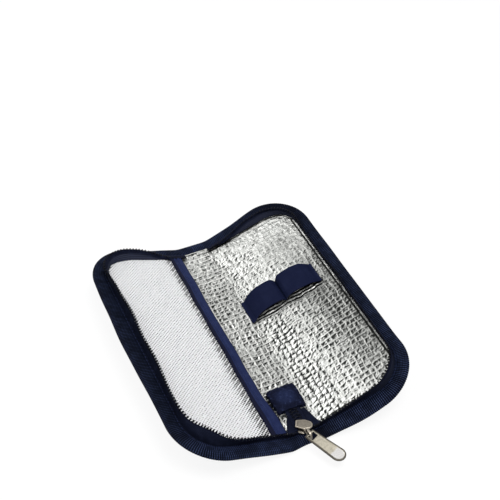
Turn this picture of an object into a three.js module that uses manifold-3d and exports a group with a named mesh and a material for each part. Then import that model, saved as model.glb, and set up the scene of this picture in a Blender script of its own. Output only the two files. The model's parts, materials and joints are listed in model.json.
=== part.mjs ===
// Insulin cooling case: a zipped, foam-lined pouch for medicine pens that opens like a book.
// Millimetres, +Z up. X runs across the spine, Y along it, and the spine's underside is Z = 0.
// The case is built open in a shallow V, with the pocket leaf at -X and the pen leaf at +X.
// Leaf pieces are drawn in leaf axes: x away from the fold, y along it, z inwards from the cover.
import * as THREE from 'three';
import { mergeVertices } from 'three/addons/utils/BufferGeometryUtils.js';
import Module from 'manifold-3d';

const wasm = await Module();
wasm.setup();

// Overall sizes
const CASE_LENGTH = 205;
const LEAF_WIDTH = 77;
const SPINE_WIDTH = 24;
const CORNER_RADIUS = 33;
const FLANGE_WIDTH = 9;
const OPEN_ANGLE = THREE.MathUtils.degToRad(19);

// Layers, from the outside in, and the gaps between sewn neighbours
const COVER_THICKNESS = 0.8;
const FOAM_THICKNESS = 2.6;
const LINING_THICKNESS = 0.4;
const SEAM_GAP = 0.3;
const FOLD_GAP = 0.3;
const FOLD_RELIEF = 0.8;
const CLOSING_GAP = 0.3;

// Bound edge and zip
const BINDING_THICKNESS = 0.7;
const COVER_RIM = 0.5;
const COVER_STEP = 1;
const TAPE_THICKNESS = 0.5;
const WALL_THICKNESS = 0.7;
const COIL_WIDTH = 1.5;
const COIL_HEIGHT = 1.2;
const DIP_CLEARANCE = 1;
const DIP_RISE = 16;
const DIP_LAP = 1;

// Net pocket on the left leaf
const TRIM_START = 5.9;
const TRIM_WIDTH = 5.5;
const TRIM_THICKNESS = 0.8;
const NET_THICKNESS = 0.6;
const NET_PITCH_ACROSS = 7.2;
const NET_PITCH_ALONG = 10.8;
const NET_STRAND = 1.2;
const NET_BORDER = 1.6;

// Pen strap on the right leaf: two loops between three sewn feet
const STRAP_START = 5.2;
const STRAP_FOOT = 3.4;
const STRAP_LOOP = 21.4;
const STRAP_RISE = 6;
const STRAP_THICKNESS = 0.8;
const STRAP_WIDTH = 20;
const STRAP_CENTRE = 17.5;

// Zip slider, its crown and its pull tab
const SLIDER_INSET = 1.2;
const SLIDER_WIDTH = 10;
const SLIDER_BACK = 5.5;
const SLIDER_FRONT = 4.5;
const SLIDER_SHOULDER = 1.7;
const SLIDER_TRAVEL = 4;
const LOWER_PLATE = 0.8;
const UPPER_PLATE = 1;
const POST_WIDTH = 2.2;
const POST_LENGTH = 2.4;
const NOSE_REACH = 11.7;
const NOSE_WIDTH = 2;
const CROWN_WIDTH = 1.8;
const CROWN_FOOT = 1.1;
const CROWN_LENGTH = 7;
const CROWN_OPENING = 2.3;
const PULL_LENGTH = 29;
const PULL_NECK = 8;
const PULL_END = 10;
const PULL_THICKNESS = 1.2;
const PULL_BAR = 1.6;
const EYE_WIDTH = 5.4;
const EYE_LENGTH = 4;
const PULL_YAW = THREE.MathUtils.degToRad(25);
const PULL_TILT = THREE.MathUtils.degToRad(2);
const RUNNING_GAP = 0.3;
const POST_GAP = 0.4;

// Zip tail on the spine and the folded tab that holds its end
const TAIL_WIDTH = 11;
const TAIL_THICKNESS = 0.6;
const TAIL_COIL_WIDTH = 6;
const TAIL_COIL_HEIGHT = 1.2;
const TAIL_FREE_LENGTH = 17.3;
const TAIL_HELD_LENGTH = 14;
const TAB_LENGTH = 17.6;
const TAB_WIDTH = 13.4;
const TAB_THICKNESS = 0.8;

const CORNER_STEPS = 12;
const DIP_STEPS = 6;
const LOOP_STEPS = 20;

// Heights of the layers above the cover's outer face
const foldHeight = COVER_THICKNESS / 2;
const foamLow = COVER_THICKNESS + SEAM_GAP;
const foamHigh = foamLow + FOAM_THICKNESS;
const liningLow = foamHigh + SEAM_GAP;
const liningHigh = liningLow + LINING_THICKNESS;
const seatLow = liningHigh + SEAM_GAP;

// Heights in the bound edge: lower leg, cover rim, zip tape, upper leg
const rimLow = BINDING_THICKNESS + SEAM_GAP;
const rimHigh = rimLow + COVER_RIM;
const tapeLow = rimHigh + SEAM_GAP;
const tapeHigh = tapeLow + TAPE_THICKNESS;
const upperLegLow = tapeHigh + SEAM_GAP;
const upperLegHigh = upperLegLow + BINDING_THICKNESS;

// The seam line, where the bound edge meets the walls of the case
const spineHalf = SPINE_WIDTH / 2;
const seamHalfLength = CASE_LENGTH / 2 - FLANGE_WIDTH;
const seamWidth = LEAF_WIDTH - FLANGE_WIDTH;
const seamRadius = CORNER_RADIUS - FLANGE_WIDTH;
const flangeFill = FLANGE_WIDTH - BINDING_THICKNESS - SEAM_GAP;
const liningInset = -(WALL_THICKNESS + SEAM_GAP);
const foamInset = -(SEAM_GAP + COVER_STEP + SEAM_GAP);

// The coil closes on the middle plane, and dips near the spine to pass the slider
const coilHigh = spineHalf + foldHeight - CLOSING_GAP;
const coilLow = coilHigh - COIL_HEIGHT;
const wallHigh = coilLow - SEAM_GAP;
const coilOut = (COIL_WIDTH - WALL_THICKNESS) / 2;
const coilIn = coilOut - COIL_WIDTH;
const netInset = coilIn - SEAM_GAP;
const dipDepth = coilHigh - (spineHalf + foldHeight - SLIDER_WIDTH / 2 - DIP_CLEARANCE);

// Heights of the slider's stack above the spine lining
const lowerPlateLow = seatLow;
const lowerPlateHigh = lowerPlateLow + LOWER_PLATE;
const tailLow = Math.max(lowerPlateHigh, seatLow + TAB_THICKNESS) + RUNNING_GAP;
const tailHigh = tailLow + TAIL_THICKNESS;
const tailCoilHigh = tailHigh + TAIL_COIL_HEIGHT;
const upperPlateLow = tailCoilHigh + RUNNING_GAP;
const upperPlateHigh = upperPlateLow + UPPER_PLATE;
const crownLow = upperPlateHigh + SEAM_GAP;
const crownInner = crownLow + CROWN_OPENING;
const crownHigh = crownInner + CROWN_FOOT;
const pullHeight = (upperPlateHigh + crownInner) / 2;
const sliderY = -seamHalfLength + SLIDER_INSET;
const postNear = -SLIDER_FRONT + RUNNING_GAP * 2;
const postFar = postNear + POST_LENGTH;
const pullY =
  CROWN_FOOT + RUNNING_GAP - NOSE_REACH
  + (PULL_BAR / 2 + (CROWN_WIDTH / 2) * Math.sin(PULL_YAW)) / Math.cos(PULL_YAW);
const dipEnd = crownHigh + DIP_CLEARANCE;
const dipTop = dipEnd + DIP_RISE;

// Solids

function toSolid(geometry) {
  geometry.deleteAttribute('normal');
  geometry.deleteAttribute('uv');
  const welded = mergeVertices(geometry, 1e-4);
  const mesh = new wasm.Mesh({
    numProp: 3,
    vertProperties: new Float32Array(welded.attributes.position.array),
    triVerts: new Uint32Array(welded.index.array),
  });
  return new wasm.Manifold(mesh);
}

function toGeometry(solid) {
  const mesh = solid.getMesh();
  const geometry = new THREE.BufferGeometry();
  geometry.setAttribute('position', new THREE.BufferAttribute(mesh.vertProperties, 3));
  geometry.setIndex(new THREE.BufferAttribute(mesh.triVerts, 1));
  geometry.computeVertexNormals();
  return geometry;
}

function join(...geometries) {
  return geometries.map(toSolid).reduce((whole, piece) => whole.add(piece));
}

// A flat shape in x and y, given thickness from one height to another.
function slab(shape, low, high) {
  const geometry = new THREE.ExtrudeGeometry(shape, { depth: high - low, bevelEnabled: false });
  return geometry.translate(0, 0, low);
}

// A section in x and z, run along y from one end to the other.
function prism(section, near, far) {
  const geometry = new THREE.ExtrudeGeometry(section, { depth: far - near, bevelEnabled: false });
  return geometry.rotateX(Math.PI / 2).translate(0, far, 0);
}

function polygon(...corners) {
  return new THREE.Shape(corners.map(([x, y]) => new THREE.Vector2(x, y)));
}

function rectangle(left, right, near, far) {
  return polygon([left, near], [right, near], [right, far], [left, far]);
}

function block(left, right, near, far, low, high) {
  return slab(rectangle(left, right, near, far), low, high);
}

// Leaf outlines

// Points of the seam line moved outwards by an offset, from the near fold end to the far one.
function outlinePoints(offset, start) {
  const endY = seamHalfLength + offset;
  const radius = seamRadius + offset;
  const arcX = seamWidth - seamRadius;
  const arcY = seamHalfLength - seamRadius;
  const half = [new THREE.Vector2(start, -endY)];
  for (let i = 0; i <= CORNER_STEPS; i += 1) {
    const turn = (Math.PI / 2) * (i / CORNER_STEPS);
    half.push(new THREE.Vector2(arcX + radius * Math.sin(turn), -arcY - radius * Math.cos(turn)));
  }
  const mirrored = half.map((point) => new THREE.Vector2(point.x, -point.y)).reverse();
  return [...half, ...mirrored];
}

function plateShape(offset, start = 0) {
  return new THREE.Shape(outlinePoints(offset, start));
}

function bandShape(inner, outer, start = 0) {
  return new THREE.Shape([...outlinePoints(outer, start), ...outlinePoints(inner, start).reverse()]);
}

// Cuts a leaf piece along the mitre that lets the leaf and the spine meet when the case is closed.
function mitred(solid, relief = 0) {
  const edge = FOLD_GAP + relief;
  const reach = SPINE_WIDTH;
  const wedge = polygon(
    [-reach, -reach],
    [edge, -reach],
    [edge, foldHeight],
    [edge + reach, foldHeight + reach],
    [-reach, foldHeight + reach],
  );
  return solid.subtract(toSolid(prism(wedge, -CASE_LENGTH, CASE_LENGTH)));
}

// A level edge at a height, lowered near the spine by a smooth step that ends at the dip.
function dipEdge(start, height) {
  const points = [new THREE.Vector2(start, height - dipDepth)];
  for (let i = 0; i <= DIP_STEPS; i += 1) {
    const rise = THREE.MathUtils.smoothstep(i, 0, DIP_STEPS);
    const x = dipEnd + (DIP_RISE * i) / DIP_STEPS;
    points.push(new THREE.Vector2(x, height - dipDepth * (1 - rise)));
  }
  points.push(new THREE.Vector2(dipTop + DIP_LAP, height));
  return points;
}

function levelEdge(start, height) {
  return [new THREE.Vector2(start, height), new THREE.Vector2(dipTop + DIP_LAP, height)];
}

// A wall round the leaf: a level band, and a bar at each end whose upper edge dips to the spine.
function dippedWall(inner, outer, low, high, lowerEdge) {
  const section = new THREE.Shape([...lowerEdge, ...dipEdge(lowerEdge[0].x, high).reverse()]);
  const near = seamHalfLength + inner;
  const far = seamHalfLength + outer;
  return [
    slab(bandShape(inner, outer, dipTop), low, high),
    prism(section, near, far),
    prism(section, -far, -near),
  ];
}

// Leaf pieces, alike on both leaves

function leafCover() {
  const panel = slab(plateShape(-SEAM_GAP), 0, COVER_THICKNESS);
  const step = slab(bandShape(-SEAM_GAP - COVER_STEP, -SEAM_GAP), 0, rimHigh);
  const rim = slab(bandShape(-SEAM_GAP - COVER_STEP, flangeFill), rimLow, rimHigh);
  return toGeometry(mitred(join(panel, step, rim)));
}

function leafFoam() {
  return toGeometry(mitred(join(slab(plateShape(foamInset), foamLow, foamHigh)), FOLD_RELIEF));
}

function leafLining() {
  return toGeometry(mitred(join(slab(plateShape(liningInset), liningLow, liningHigh)), FOLD_RELIEF));
}

function leafBinding() {
  const lowerLeg = slab(bandShape(0, FLANGE_WIDTH), 0, BINDING_THICKNESS);
  const edge = slab(bandShape(FLANGE_WIDTH - BINDING_THICKNESS, FLANGE_WIDTH), 0, upperLegHigh);
  const upperLeg = slab(bandShape(SEAM_GAP, FLANGE_WIDTH), upperLegLow, upperLegHigh);
  return toGeometry(mitred(join(lowerLeg, edge, upperLeg)));
}

function leafZipTape() {
  const allowance = slab(bandShape(-WALL_THICKNESS, flangeFill), tapeLow, tapeHigh);
  const wall = dippedWall(-WALL_THICKNESS, 0, tapeLow, wallHigh, levelEdge(0, tapeLow));
  return toGeometry(mitred(join(allowance, ...wall)));
}

function leafZipCoil() {
  const start = FOLD_GAP + coilHigh - dipDepth - foldHeight;
  return toGeometry(join(...dippedWall(coilIn, coilOut, coilLow, coilHigh, dipEdge(start, coilLow))));
}

// Net pocket

function insideLeaf(x, y, offset) {
  const overX = Math.max(0, x - (seamWidth - seamRadius));
  const overY = Math.max(0, Math.abs(y) - (seamHalfLength - seamRadius));
  return Math.hypot(overX, overY) <= seamRadius + offset;
}

// A diamond net: staggered rows of gaps, kept where a whole gap fits inside the border.
function netPocket() {
  const start = TRIM_START + TRIM_WIDTH + SEAM_GAP;
  const shape = plateShape(netInset, start);
  const halfAcross = (NET_PITCH_ACROSS - NET_STRAND) / 2;
  const halfAlong = (NET_PITCH_ALONG - NET_STRAND) / 2;
  const border = netInset - NET_BORDER;
  const rows = Math.floor((2 * (seamWidth - start)) / NET_PITCH_ACROSS);
  const columns = Math.ceil(seamHalfLength / NET_PITCH_ALONG);
  for (let row = 0; row <= rows; row += 1) {
    const x = start + NET_BORDER + halfAcross + (row * NET_PITCH_ACROSS) / 2;
    for (let column = -columns; column <= columns; column += 1) {
      const y = (column + (row % 2) / 2) * NET_PITCH_ALONG;
      const corners = [[x + halfAcross, y], [x, y + halfAlong], [x - halfAcross, y], [x, y - halfAlong]];
      if (corners.every((corner) => insideLeaf(corner[0], corner[1], border))) {
        shape.holes.push(new THREE.Path(corners.map(([u, v]) => new THREE.Vector2(u, v))));
      }
    }
  }
  return slab(shape, seatLow, seatLow + NET_THICKNESS);
}

function pocketMouthTrim() {
  const end = seamHalfLength + netInset;
  return block(TRIM_START, TRIM_START + TRIM_WIDTH, -end, end, seatLow, seatLow + TRIM_THICKNESS);
}

// Pen strap

// Points over one loop, from foot to foot: a flattened arch of the fourth degree.
function loopPoints(middle, half, rise, base) {
  const points = [];
  for (let i = 0; i <= LOOP_STEPS; i += 1) {
    const across = -Math.cos((Math.PI * i) / LOOP_STEPS);
    const height = rise * (1 - across ** 4) ** 0.5;
    points.push(new THREE.Vector2(middle + half * across, base + height));
  }
  return points;
}

function penStrap() {
  const pitch = STRAP_FOOT + STRAP_LOOP;
  const middles = [0, 1].map((loop) => STRAP_START + STRAP_FOOT + STRAP_LOOP / 2 + pitch * loop);
  const far = STRAP_START + 2 * pitch + STRAP_FOOT;
  const top = seatLow + STRAP_THICKNESS;
  const upper = middles.flatMap((middle) => (
    loopPoints(middle, STRAP_LOOP / 2 + STRAP_THICKNESS, STRAP_RISE, top)));
  const lower = middles.flatMap((middle) => loopPoints(middle, STRAP_LOOP / 2, STRAP_RISE, seatLow));
  const section = new THREE.Shape([
    new THREE.Vector2(STRAP_START, seatLow),
    new THREE.Vector2(STRAP_START, top),
    ...upper,
    new THREE.Vector2(far, top),
    new THREE.Vector2(far, seatLow),
    ...lower.reverse(),
  ]);
  return prism(section, STRAP_CENTRE - STRAP_WIDTH / 2, STRAP_CENTRE + STRAP_WIDTH / 2);
}

// Spine pieces

// A strip along the spine, with both long edges cut to the folds' mitre.
function spineStrip(low, high, near, far, relief = 0) {
  const widest = spineHalf - FOLD_GAP - relief;
  const halfAt = (height) => widest - Math.max(0, height - foldHeight);
  const middle = Math.min(Math.max(foldHeight, low), high);
  const right = [[halfAt(low), low], [halfAt(middle), middle], [halfAt(high), high]];
  const left = right.map(([x, z]) => [-x, z]).reverse();
  return prism(polygon(...right, ...left), near, far);
}

function spineCover() {
  const panelEnd = seamHalfLength - SEAM_GAP;
  const stepEnd = panelEnd - COVER_STEP;
  const rimEnd = seamHalfLength + flangeFill;
  return toGeometry(join(
    spineStrip(0, COVER_THICKNESS, -panelEnd, panelEnd),
    spineStrip(0, rimHigh, -panelEnd, -stepEnd),
    spineStrip(rimLow, rimHigh, -rimEnd, -stepEnd),
    spineStrip(0, rimHigh, stepEnd, panelEnd),
    spineStrip(rimLow, rimHigh, stepEnd, rimEnd),
  ));
}

function spineFoam() {
  const end = seamHalfLength + foamInset;
  return spineStrip(foamLow, foamHigh, -end, end, FOLD_RELIEF);
}

function spineLining() {
  const end = seamHalfLength + liningInset;
  return spineStrip(liningLow, liningHigh, -end, end, FOLD_RELIEF);
}

function spineBinding() {
  const seam = seamHalfLength;
  const outer = seam + FLANGE_WIDTH;
  return toGeometry(join(
    spineStrip(0, BINDING_THICKNESS, seam, outer),
    spineStrip(0, upperLegHigh, outer - BINDING_THICKNESS, outer),
    spineStrip(upperLegLow, upperLegHigh, seam + SEAM_GAP, outer),
  ));
}

// The closed end of the zip: a tape with its coil on top, slotted where the slider's post runs.
function zipTail() {
  const near = -SLIDER_FRONT;
  const far = TAIL_FREE_LENGTH + TAIL_HELD_LENGTH;
  const coilFar = TAIL_FREE_LENGTH - SEAM_GAP;
  const slotHalf = POST_WIDTH / 2 + POST_GAP;
  const slotFar = postFar + SLIDER_TRAVEL + POST_GAP;
  const tape = block(-TAIL_WIDTH / 2, TAIL_WIDTH / 2, near, far, tailLow, tailHigh);
  const coil = block(-TAIL_COIL_WIDTH / 2, TAIL_COIL_WIDTH / 2, near, coilFar, tailLow, tailCoilHigh);
  const slot = block(-slotHalf, slotHalf, near - POST_LENGTH, slotFar, 0, crownHigh);
  return toGeometry(join(tape, coil).subtract(toSolid(slot)));
}

// A ribbon folded over the end of the tail and sewn to the spine lining.
function zipTailTab() {
  const near = TAIL_FREE_LENGTH;
  const far = near + TAB_LENGTH;
  const fold = near + TAIL_HELD_LENGTH + RUNNING_GAP;
  const half = TAB_WIDTH / 2;
  const top = tailHigh + SEAM_GAP;
  return toGeometry(join(
    block(-half, half, near, far, seatLow, seatLow + TAB_THICKNESS),
    block(-half, half, fold, far, seatLow, top + TAB_THICKNESS),
    block(-half, half, near, far, top, top + TAB_THICKNESS),
  ));
}

// Slider, crown and pull tab

function sliderBody() {
  const half = SLIDER_WIDTH / 2;
  const nose = NOSE_WIDTH / 2;
  const cap = polygon(
    [-half, SLIDER_BACK],
    [-half, -SLIDER_SHOULDER],
    [-nose, -SLIDER_FRONT],
    [-nose, -NOSE_REACH],
    [nose, -NOSE_REACH],
    [nose, -SLIDER_FRONT],
    [half, -SLIDER_SHOULDER],
    [half, SLIDER_BACK],
  );
  return toGeometry(join(
    slab(cap, upperPlateLow, upperPlateHigh),
    block(-half, half, -SLIDER_FRONT, SLIDER_BACK, lowerPlateLow, lowerPlateHigh),
    block(-POST_WIDTH / 2, POST_WIDTH / 2, postNear, postFar, lowerPlateLow, upperPlateHigh),
  ));
}

// The bridge on the slider's nose that the pull tab hangs from.
function sliderCrown() {
  const near = -NOSE_REACH;
  const far = near + CROWN_LENGTH;
  const arch = polygon(
    [near, crownLow],
    [near + CROWN_FOOT, crownLow],
    [near + CROWN_FOOT, crownInner],
    [far - CROWN_FOOT, crownInner],
    [far - CROWN_FOOT, crownLow],
    [far, crownLow],
    [far, crownInner],
    [far - CROWN_FOOT, crownHigh],
    [near + CROWN_FOOT, crownHigh],
    [near, crownInner],
  );
  const half = CROWN_WIDTH / 2;
  return prism(arch, -half, half).rotateZ(Math.PI / 2);
}

// Drawn from the bar in the crown (at the origin) along -y: it widens from its neck to a round end.
function pullTab() {
  const neck = PULL_NECK / 2;
  const end = PULL_END / 2;
  const top = PULL_BAR / 2;
  const centre = top - PULL_LENGTH + end;
  const shape = new THREE.Shape();
  shape.moveTo(neck, top);
  shape.lineTo(-neck, top);
  shape.lineTo(-end, centre);
  shape.absarc(0, centre, end, Math.PI, 2 * Math.PI, false);
  shape.lineTo(neck, top);
  shape.holes.push(new THREE.Path(
    rectangle(-EYE_WIDTH / 2, EYE_WIDTH / 2, -top - EYE_LENGTH, -top).getPoints().reverse()));
  return slab(shape, -PULL_THICKNESS / 2, PULL_THICKNESS / 2);
}

// Materials

const FINISHES = {
  cover: { color: 0x27334f, roughness: 0.55, metalness: 0 },
  foam: { color: 0xd9d9d6, roughness: 0.95, metalness: 0 },
  lining: { color: 0xc9ccd0, roughness: 0.3, metalness: 0.9 },
  binding: { color: 0x1f2540, roughness: 0.75, metalness: 0 },
  tape: { color: 0x14172a, roughness: 0.85, metalness: 0 },
  coil: { color: 0x0c0d14, roughness: 0.4, metalness: 0 },
  net: { color: 0xe8eaec, roughness: 0.7, metalness: 0 },
  satin: { color: 0x1c2450, roughness: 0.5, metalness: 0 },
  metal: { color: 0xb9bcc0, roughness: 0.25, metalness: 1 },
};

function named(name, geometry, finish) {
  const mesh = new THREE.Mesh(geometry, new THREE.MeshStandardMaterial(FINISHES[finish]));
  mesh.name = name;
  return mesh;
}

// Assembly

// The layers that both leaves share, named after their leaf.
function leafPieces(leaf) {
  return [
    named(`${leaf}_cover`, leafCover(), 'cover'),
    named(`${leaf}_foam`, leafFoam(), 'foam'),
    named(`${leaf}_lining`, leafLining(), 'lining'),
    named(`${leaf}_binding`, leafBinding(), 'binding'),
    named(`${leaf}_zip_tape`, leafZipTape(), 'tape'),
    named(`${leaf}_zip_coil`, leafZipCoil(), 'coil'),
  ];
}

// Sets leaf pieces at their fold: side is 1 for the right leaf and -1 for the left, turned about.
function leafGroup(side, pieces) {
  const leaf = new THREE.Group();
  leaf.add(...pieces);
  leaf.position.z = -foldHeight;
  leaf.rotation.z = side > 0 ? 0 : Math.PI;
  const fold = new THREE.Group();
  fold.position.set(side * spineHalf, 0, foldHeight);
  fold.rotation.y = -side * OPEN_ANGLE;
  fold.add(leaf);
  return fold;
}

function spineGroup() {
  const spine = new THREE.Group();
  const nearBinding = named('spine_binding_near', spineBinding(), 'binding');
  nearBinding.rotation.z = Math.PI;
  const tail = named('zip_tail', zipTail(), 'tape');
  const tab = named('zip_tail_tab', zipTailTab(), 'satin');
  tail.position.y = sliderY;
  tab.position.y = sliderY;
  spine.add(
    named('spine_cover', spineCover(), 'cover'),
    named('spine_foam', spineFoam(), 'foam'),
    named('spine_lining', spineLining(), 'lining'),
    nearBinding,
    named('spine_binding_far', spineBinding(), 'binding'),
    tail,
    tab,
  );
  return spine;
}

function sliderGroup() {
  const slider = new THREE.Group();
  const pull = named('pull_tab', pullTab(), 'metal');
  pull.position.set(0, pullY, pullHeight);
  pull.rotation.set(PULL_TILT, 0, PULL_YAW, 'ZXY');
  slider.position.y = sliderY;
  slider.add(
    named('slider_body', sliderBody(), 'metal'),
    named('slider_crown', sliderCrown(), 'metal'),
    pull,
  );
  return slider;
}

const insulinCase = new THREE.Group();
insulinCase.add(
  spineGroup(),
  leafGroup(-1, [
    ...leafPieces('pocket'),
    named('net_pocket', netPocket(), 'net'),
    named('pocket_mouth_trim', pocketMouthTrim(), 'satin'),
  ]),
  leafGroup(1, [
    ...leafPieces('pen'),
    named('pen_strap', penStrap(), 'satin'),
  ]),
  sliderGroup(),
);

export default insulinCase;
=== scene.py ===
"""Insulin cooling case, open in a shallow V: the looks of a navy zip case with a foil lining,
a net pocket on its left leaf and a pen strap on its right leaf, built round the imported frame.
Lengths are millimetres until a mesh is made. Leaf axes: u away from the fold, v along it, w inwards."""
import json

import bpy
import numpy as np
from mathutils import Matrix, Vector


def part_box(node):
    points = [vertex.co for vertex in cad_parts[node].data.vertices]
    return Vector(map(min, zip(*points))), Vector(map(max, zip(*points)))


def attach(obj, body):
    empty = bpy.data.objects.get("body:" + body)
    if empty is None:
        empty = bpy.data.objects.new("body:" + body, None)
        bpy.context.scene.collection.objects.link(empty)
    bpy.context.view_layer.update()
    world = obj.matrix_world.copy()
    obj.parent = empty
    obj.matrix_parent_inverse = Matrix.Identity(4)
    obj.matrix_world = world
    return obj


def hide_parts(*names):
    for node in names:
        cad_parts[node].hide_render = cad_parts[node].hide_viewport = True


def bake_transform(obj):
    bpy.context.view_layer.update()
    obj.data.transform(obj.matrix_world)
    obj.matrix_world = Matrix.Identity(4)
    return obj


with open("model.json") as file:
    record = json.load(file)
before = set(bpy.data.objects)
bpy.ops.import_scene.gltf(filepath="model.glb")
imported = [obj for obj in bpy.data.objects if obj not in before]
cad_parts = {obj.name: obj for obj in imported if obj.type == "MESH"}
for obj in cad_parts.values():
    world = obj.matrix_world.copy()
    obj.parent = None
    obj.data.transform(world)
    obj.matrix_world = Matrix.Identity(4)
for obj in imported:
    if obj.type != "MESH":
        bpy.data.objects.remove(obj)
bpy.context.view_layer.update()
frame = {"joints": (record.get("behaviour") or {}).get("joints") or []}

# Sizes that come from the frame

MM = 0.001
JOINTS = {joint["name"]: joint for joint in frame["joints"]}
FOLD = JOINTS["pen_fold"]
SPINE_HALF = FOLD["pos_m"][0] / MM
FOLD_HEIGHT = FOLD["pos_m"][2] / MM
OPEN_ANGLE = np.radians(-FOLD["range_deg"][0])
PULL_PIVOT = np.array(JOINTS["pull_swing"]["pos_m"]) / MM
PULL_AXIS = JOINTS["pull_swing"]["axis"]
LEAVES = {"pocket": -1, "pen": 1}


def node_box(name):
    """The lowest and the highest corner of a node of the frame, in millimetres."""
    return [np.array(corner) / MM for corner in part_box(name)]


CASE_HALF = node_box("pen_binding")[1][1]

# The seam line, where the bound edge meets the walls

FLANGE = 9.0
SEAM_HALF = CASE_HALF - FLANGE
SEAM_WIDTH = 68.0
SEAM_RADIUS = 24.0
STRAIGHT = SPINE_HALF + SEAM_WIDTH - SEAM_RADIUS
ARC = np.pi / 2 * SEAM_RADIUS
SIDE = 2 * (SEAM_HALF - SEAM_RADIUS)
SEAM_LENGTH = 2 * (STRAIGHT + ARC) + SIDE
NEAR_BEND = STRAIGHT + ARC / 2
FAR_BEND = SEAM_LENGTH - NEAR_BEND

# Heights of the layers above the cover's outer face

COVER_IN = 0.8
FOAM_LOW = 1.1
FOAM_HIGH = 3.2
FOIL_LOW = 3.45
FOIL_BASE = 3.85
FOIL_RELIEF = 0.62
SEAT = 4.7
BINDING_HIGH = 3.3
TAPE_LEVEL = 2.05
WALL_TOP = 10.0

# Thicknesses of the tapes, and half widths of the zones round a fold in which a layer turns

BINDING = 0.65
TAPE = 0.6
REST_ZONE = 5.0
COVER_ZONE = 4.0
FOIL_ZONE = 6.0
ZIP_ZONE = 9.0


# Shapes. A pair of sizes such as SWELL_FROM_FOLD holds what rise, fall or bell takes after x.

def smooth(t):
    """A smooth step: 0 before 0, 1 after 1, and 3t^2 - 2t^3 between."""
    t = np.clip(t, 0, 1)
    return t * t * (3 - 2 * t)


def rise(x, start, run):
    """A smooth step up: 0 at the start and 1 a run later."""
    return smooth((x - start) / run)


def fall(x, end, run):
    """A smooth step down: 1 a run before the end and 0 at the end."""
    return smooth((end - x) / run)


def bell(x, middle, reach):
    """A bell: exp(-d^2), where d is the distance from its middle over its reach."""
    return np.exp(-((x - middle) / reach) ** 2)


def bells(x, hills):
    """A sum of bells, each given by its middle, reach and height."""
    return sum(height * bell(x, middle, reach) for middle, reach, height in hills)


def ripples(x, *sines):
    """A sum of sines, each given by its height, its length over two pi and its phase."""
    return sum(height * np.sin(x / length + phase) for height, length, phase in sines)


def run_length(a, b):
    """Length run along a line of points (a, b), from 0."""
    run = np.cumsum(np.hypot(np.diff(a), np.diff(b)), -1)
    return np.concatenate([np.zeros((*run.shape[:-1], 1)), run], -1)


def line_normal(a, b):
    """Unit normal to the left of a line of points (a, b), from the differences of its neighbours."""
    ahead_a, ahead_b = np.gradient(a, axis=-1), np.gradient(b, axis=-1)
    size = np.hypot(ahead_a, ahead_b)
    return -ahead_b / size, ahead_a / size


def there_and_back(line):
    """A line followed by itself backwards."""
    return np.concatenate([line, line[..., ::-1]], -1)


def thicken(a, b, thick):
    """A closed section round a line (a, b): the line moved to its left by half the thickness, and then
    the line moved to its right on the way back."""
    section = []
    for line, normal in zip((a, b), line_normal(a, b)):
        off = normal * thick / 2
        section.append(np.concatenate([line + off, (line - off)[..., ::-1]], -1))
    return section


def strip_section(width, thick, steps, turns):
    """Section of a flat strip with half-round edges: along its lower face, round one edge, back along its
    upper face and round the other. Gives the distance across the strip and the height."""
    half = thick / 2
    inner = width / 2 - half
    flat = np.linspace(-inner, inner, steps)
    turn = np.linspace(-np.pi / 2, np.pi / 2, turns)[1:-1]
    rim, climb = inner + half * np.cos(turn), half * np.sin(turn)
    across = np.concatenate([flat, rim, flat[::-1], -rim])
    return across, np.concatenate([np.full(steps, -half), climb, np.full(steps, half), -climb])


def ring_angles(sides):
    """Angles of the points of a ring."""
    return np.linspace(0, 2 * np.pi, sides, endpoint=False)


FOLD_END = 120
FOLD_POINTS = 2881


def fold_table():
    """The neutral line of a half case: its slope turns smoothly from 0 to the open angle across the
    rest zone, and its place is the running sum of the slope's cosine and sine."""
    u = np.linspace(-2 * SPINE_HALF, FOLD_END, FOLD_POINTS)
    turn = OPEN_ANGLE * rise(u, -REST_ZONE, 2 * REST_ZONE)
    step = np.diff(u)
    x = np.concatenate([[0], np.cumsum(np.cos(turn[1:]) * step)]) - SPINE_HALF
    z = np.concatenate([[0], np.cumsum(np.sin(turn[1:]) * step)]) + FOLD_HEIGHT
    return u, turn, x, z


FOLD_U, FOLD_TURN, FOLD_X, FOLD_Z = fold_table()


def place(side, u, v, w):
    """Carries leaf axes into the frame: w stands square on the neutral line, and side -1 mirrors x."""
    turn = np.interp(u, FOLD_U, FOLD_TURN)
    x = np.interp(u, FOLD_U, FOLD_X) - (w - FOLD_HEIGHT) * np.sin(turn)
    z = np.interp(u, FOLD_U, FOLD_Z) + (w - FOLD_HEIGHT) * np.cos(turn)
    return np.stack(np.broadcast_arrays(side * x, v, z), -1)


def seam(s):
    """The seam line at a distance s from the middle of the spine's near end: straight out, a quarter
    turn, the long side, a quarter turn and straight back. Gives its place and its outward normal."""
    out = np.clip(s, 0, STRAIGHT)
    first = np.clip(s - STRAIGHT, 0, ARC) / SEAM_RADIUS
    along = np.clip(s - STRAIGHT - ARC, 0, SIDE)
    second = np.clip(s - STRAIGHT - ARC - SIDE, 0, ARC) / SEAM_RADIUS
    back = np.clip(s - STRAIGHT - 2 * ARC - SIDE, 0, STRAIGHT)
    u = out - back - SPINE_HALF + SEAM_RADIUS * (np.sin(first) + np.cos(second) - 1)
    v = along - SEAM_HALF + SEAM_RADIUS * (1 - np.cos(first) + np.sin(second))
    return u, v, np.sin(first + second), -np.cos(first + second)


def carry(side, s, n, w):
    """A profile carried along the seam line: n runs outwards from the line and w inwards."""
    u, v, out_u, out_v = seam(s)
    return place(side, u + n * out_u, v + n * out_v, w)


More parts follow.
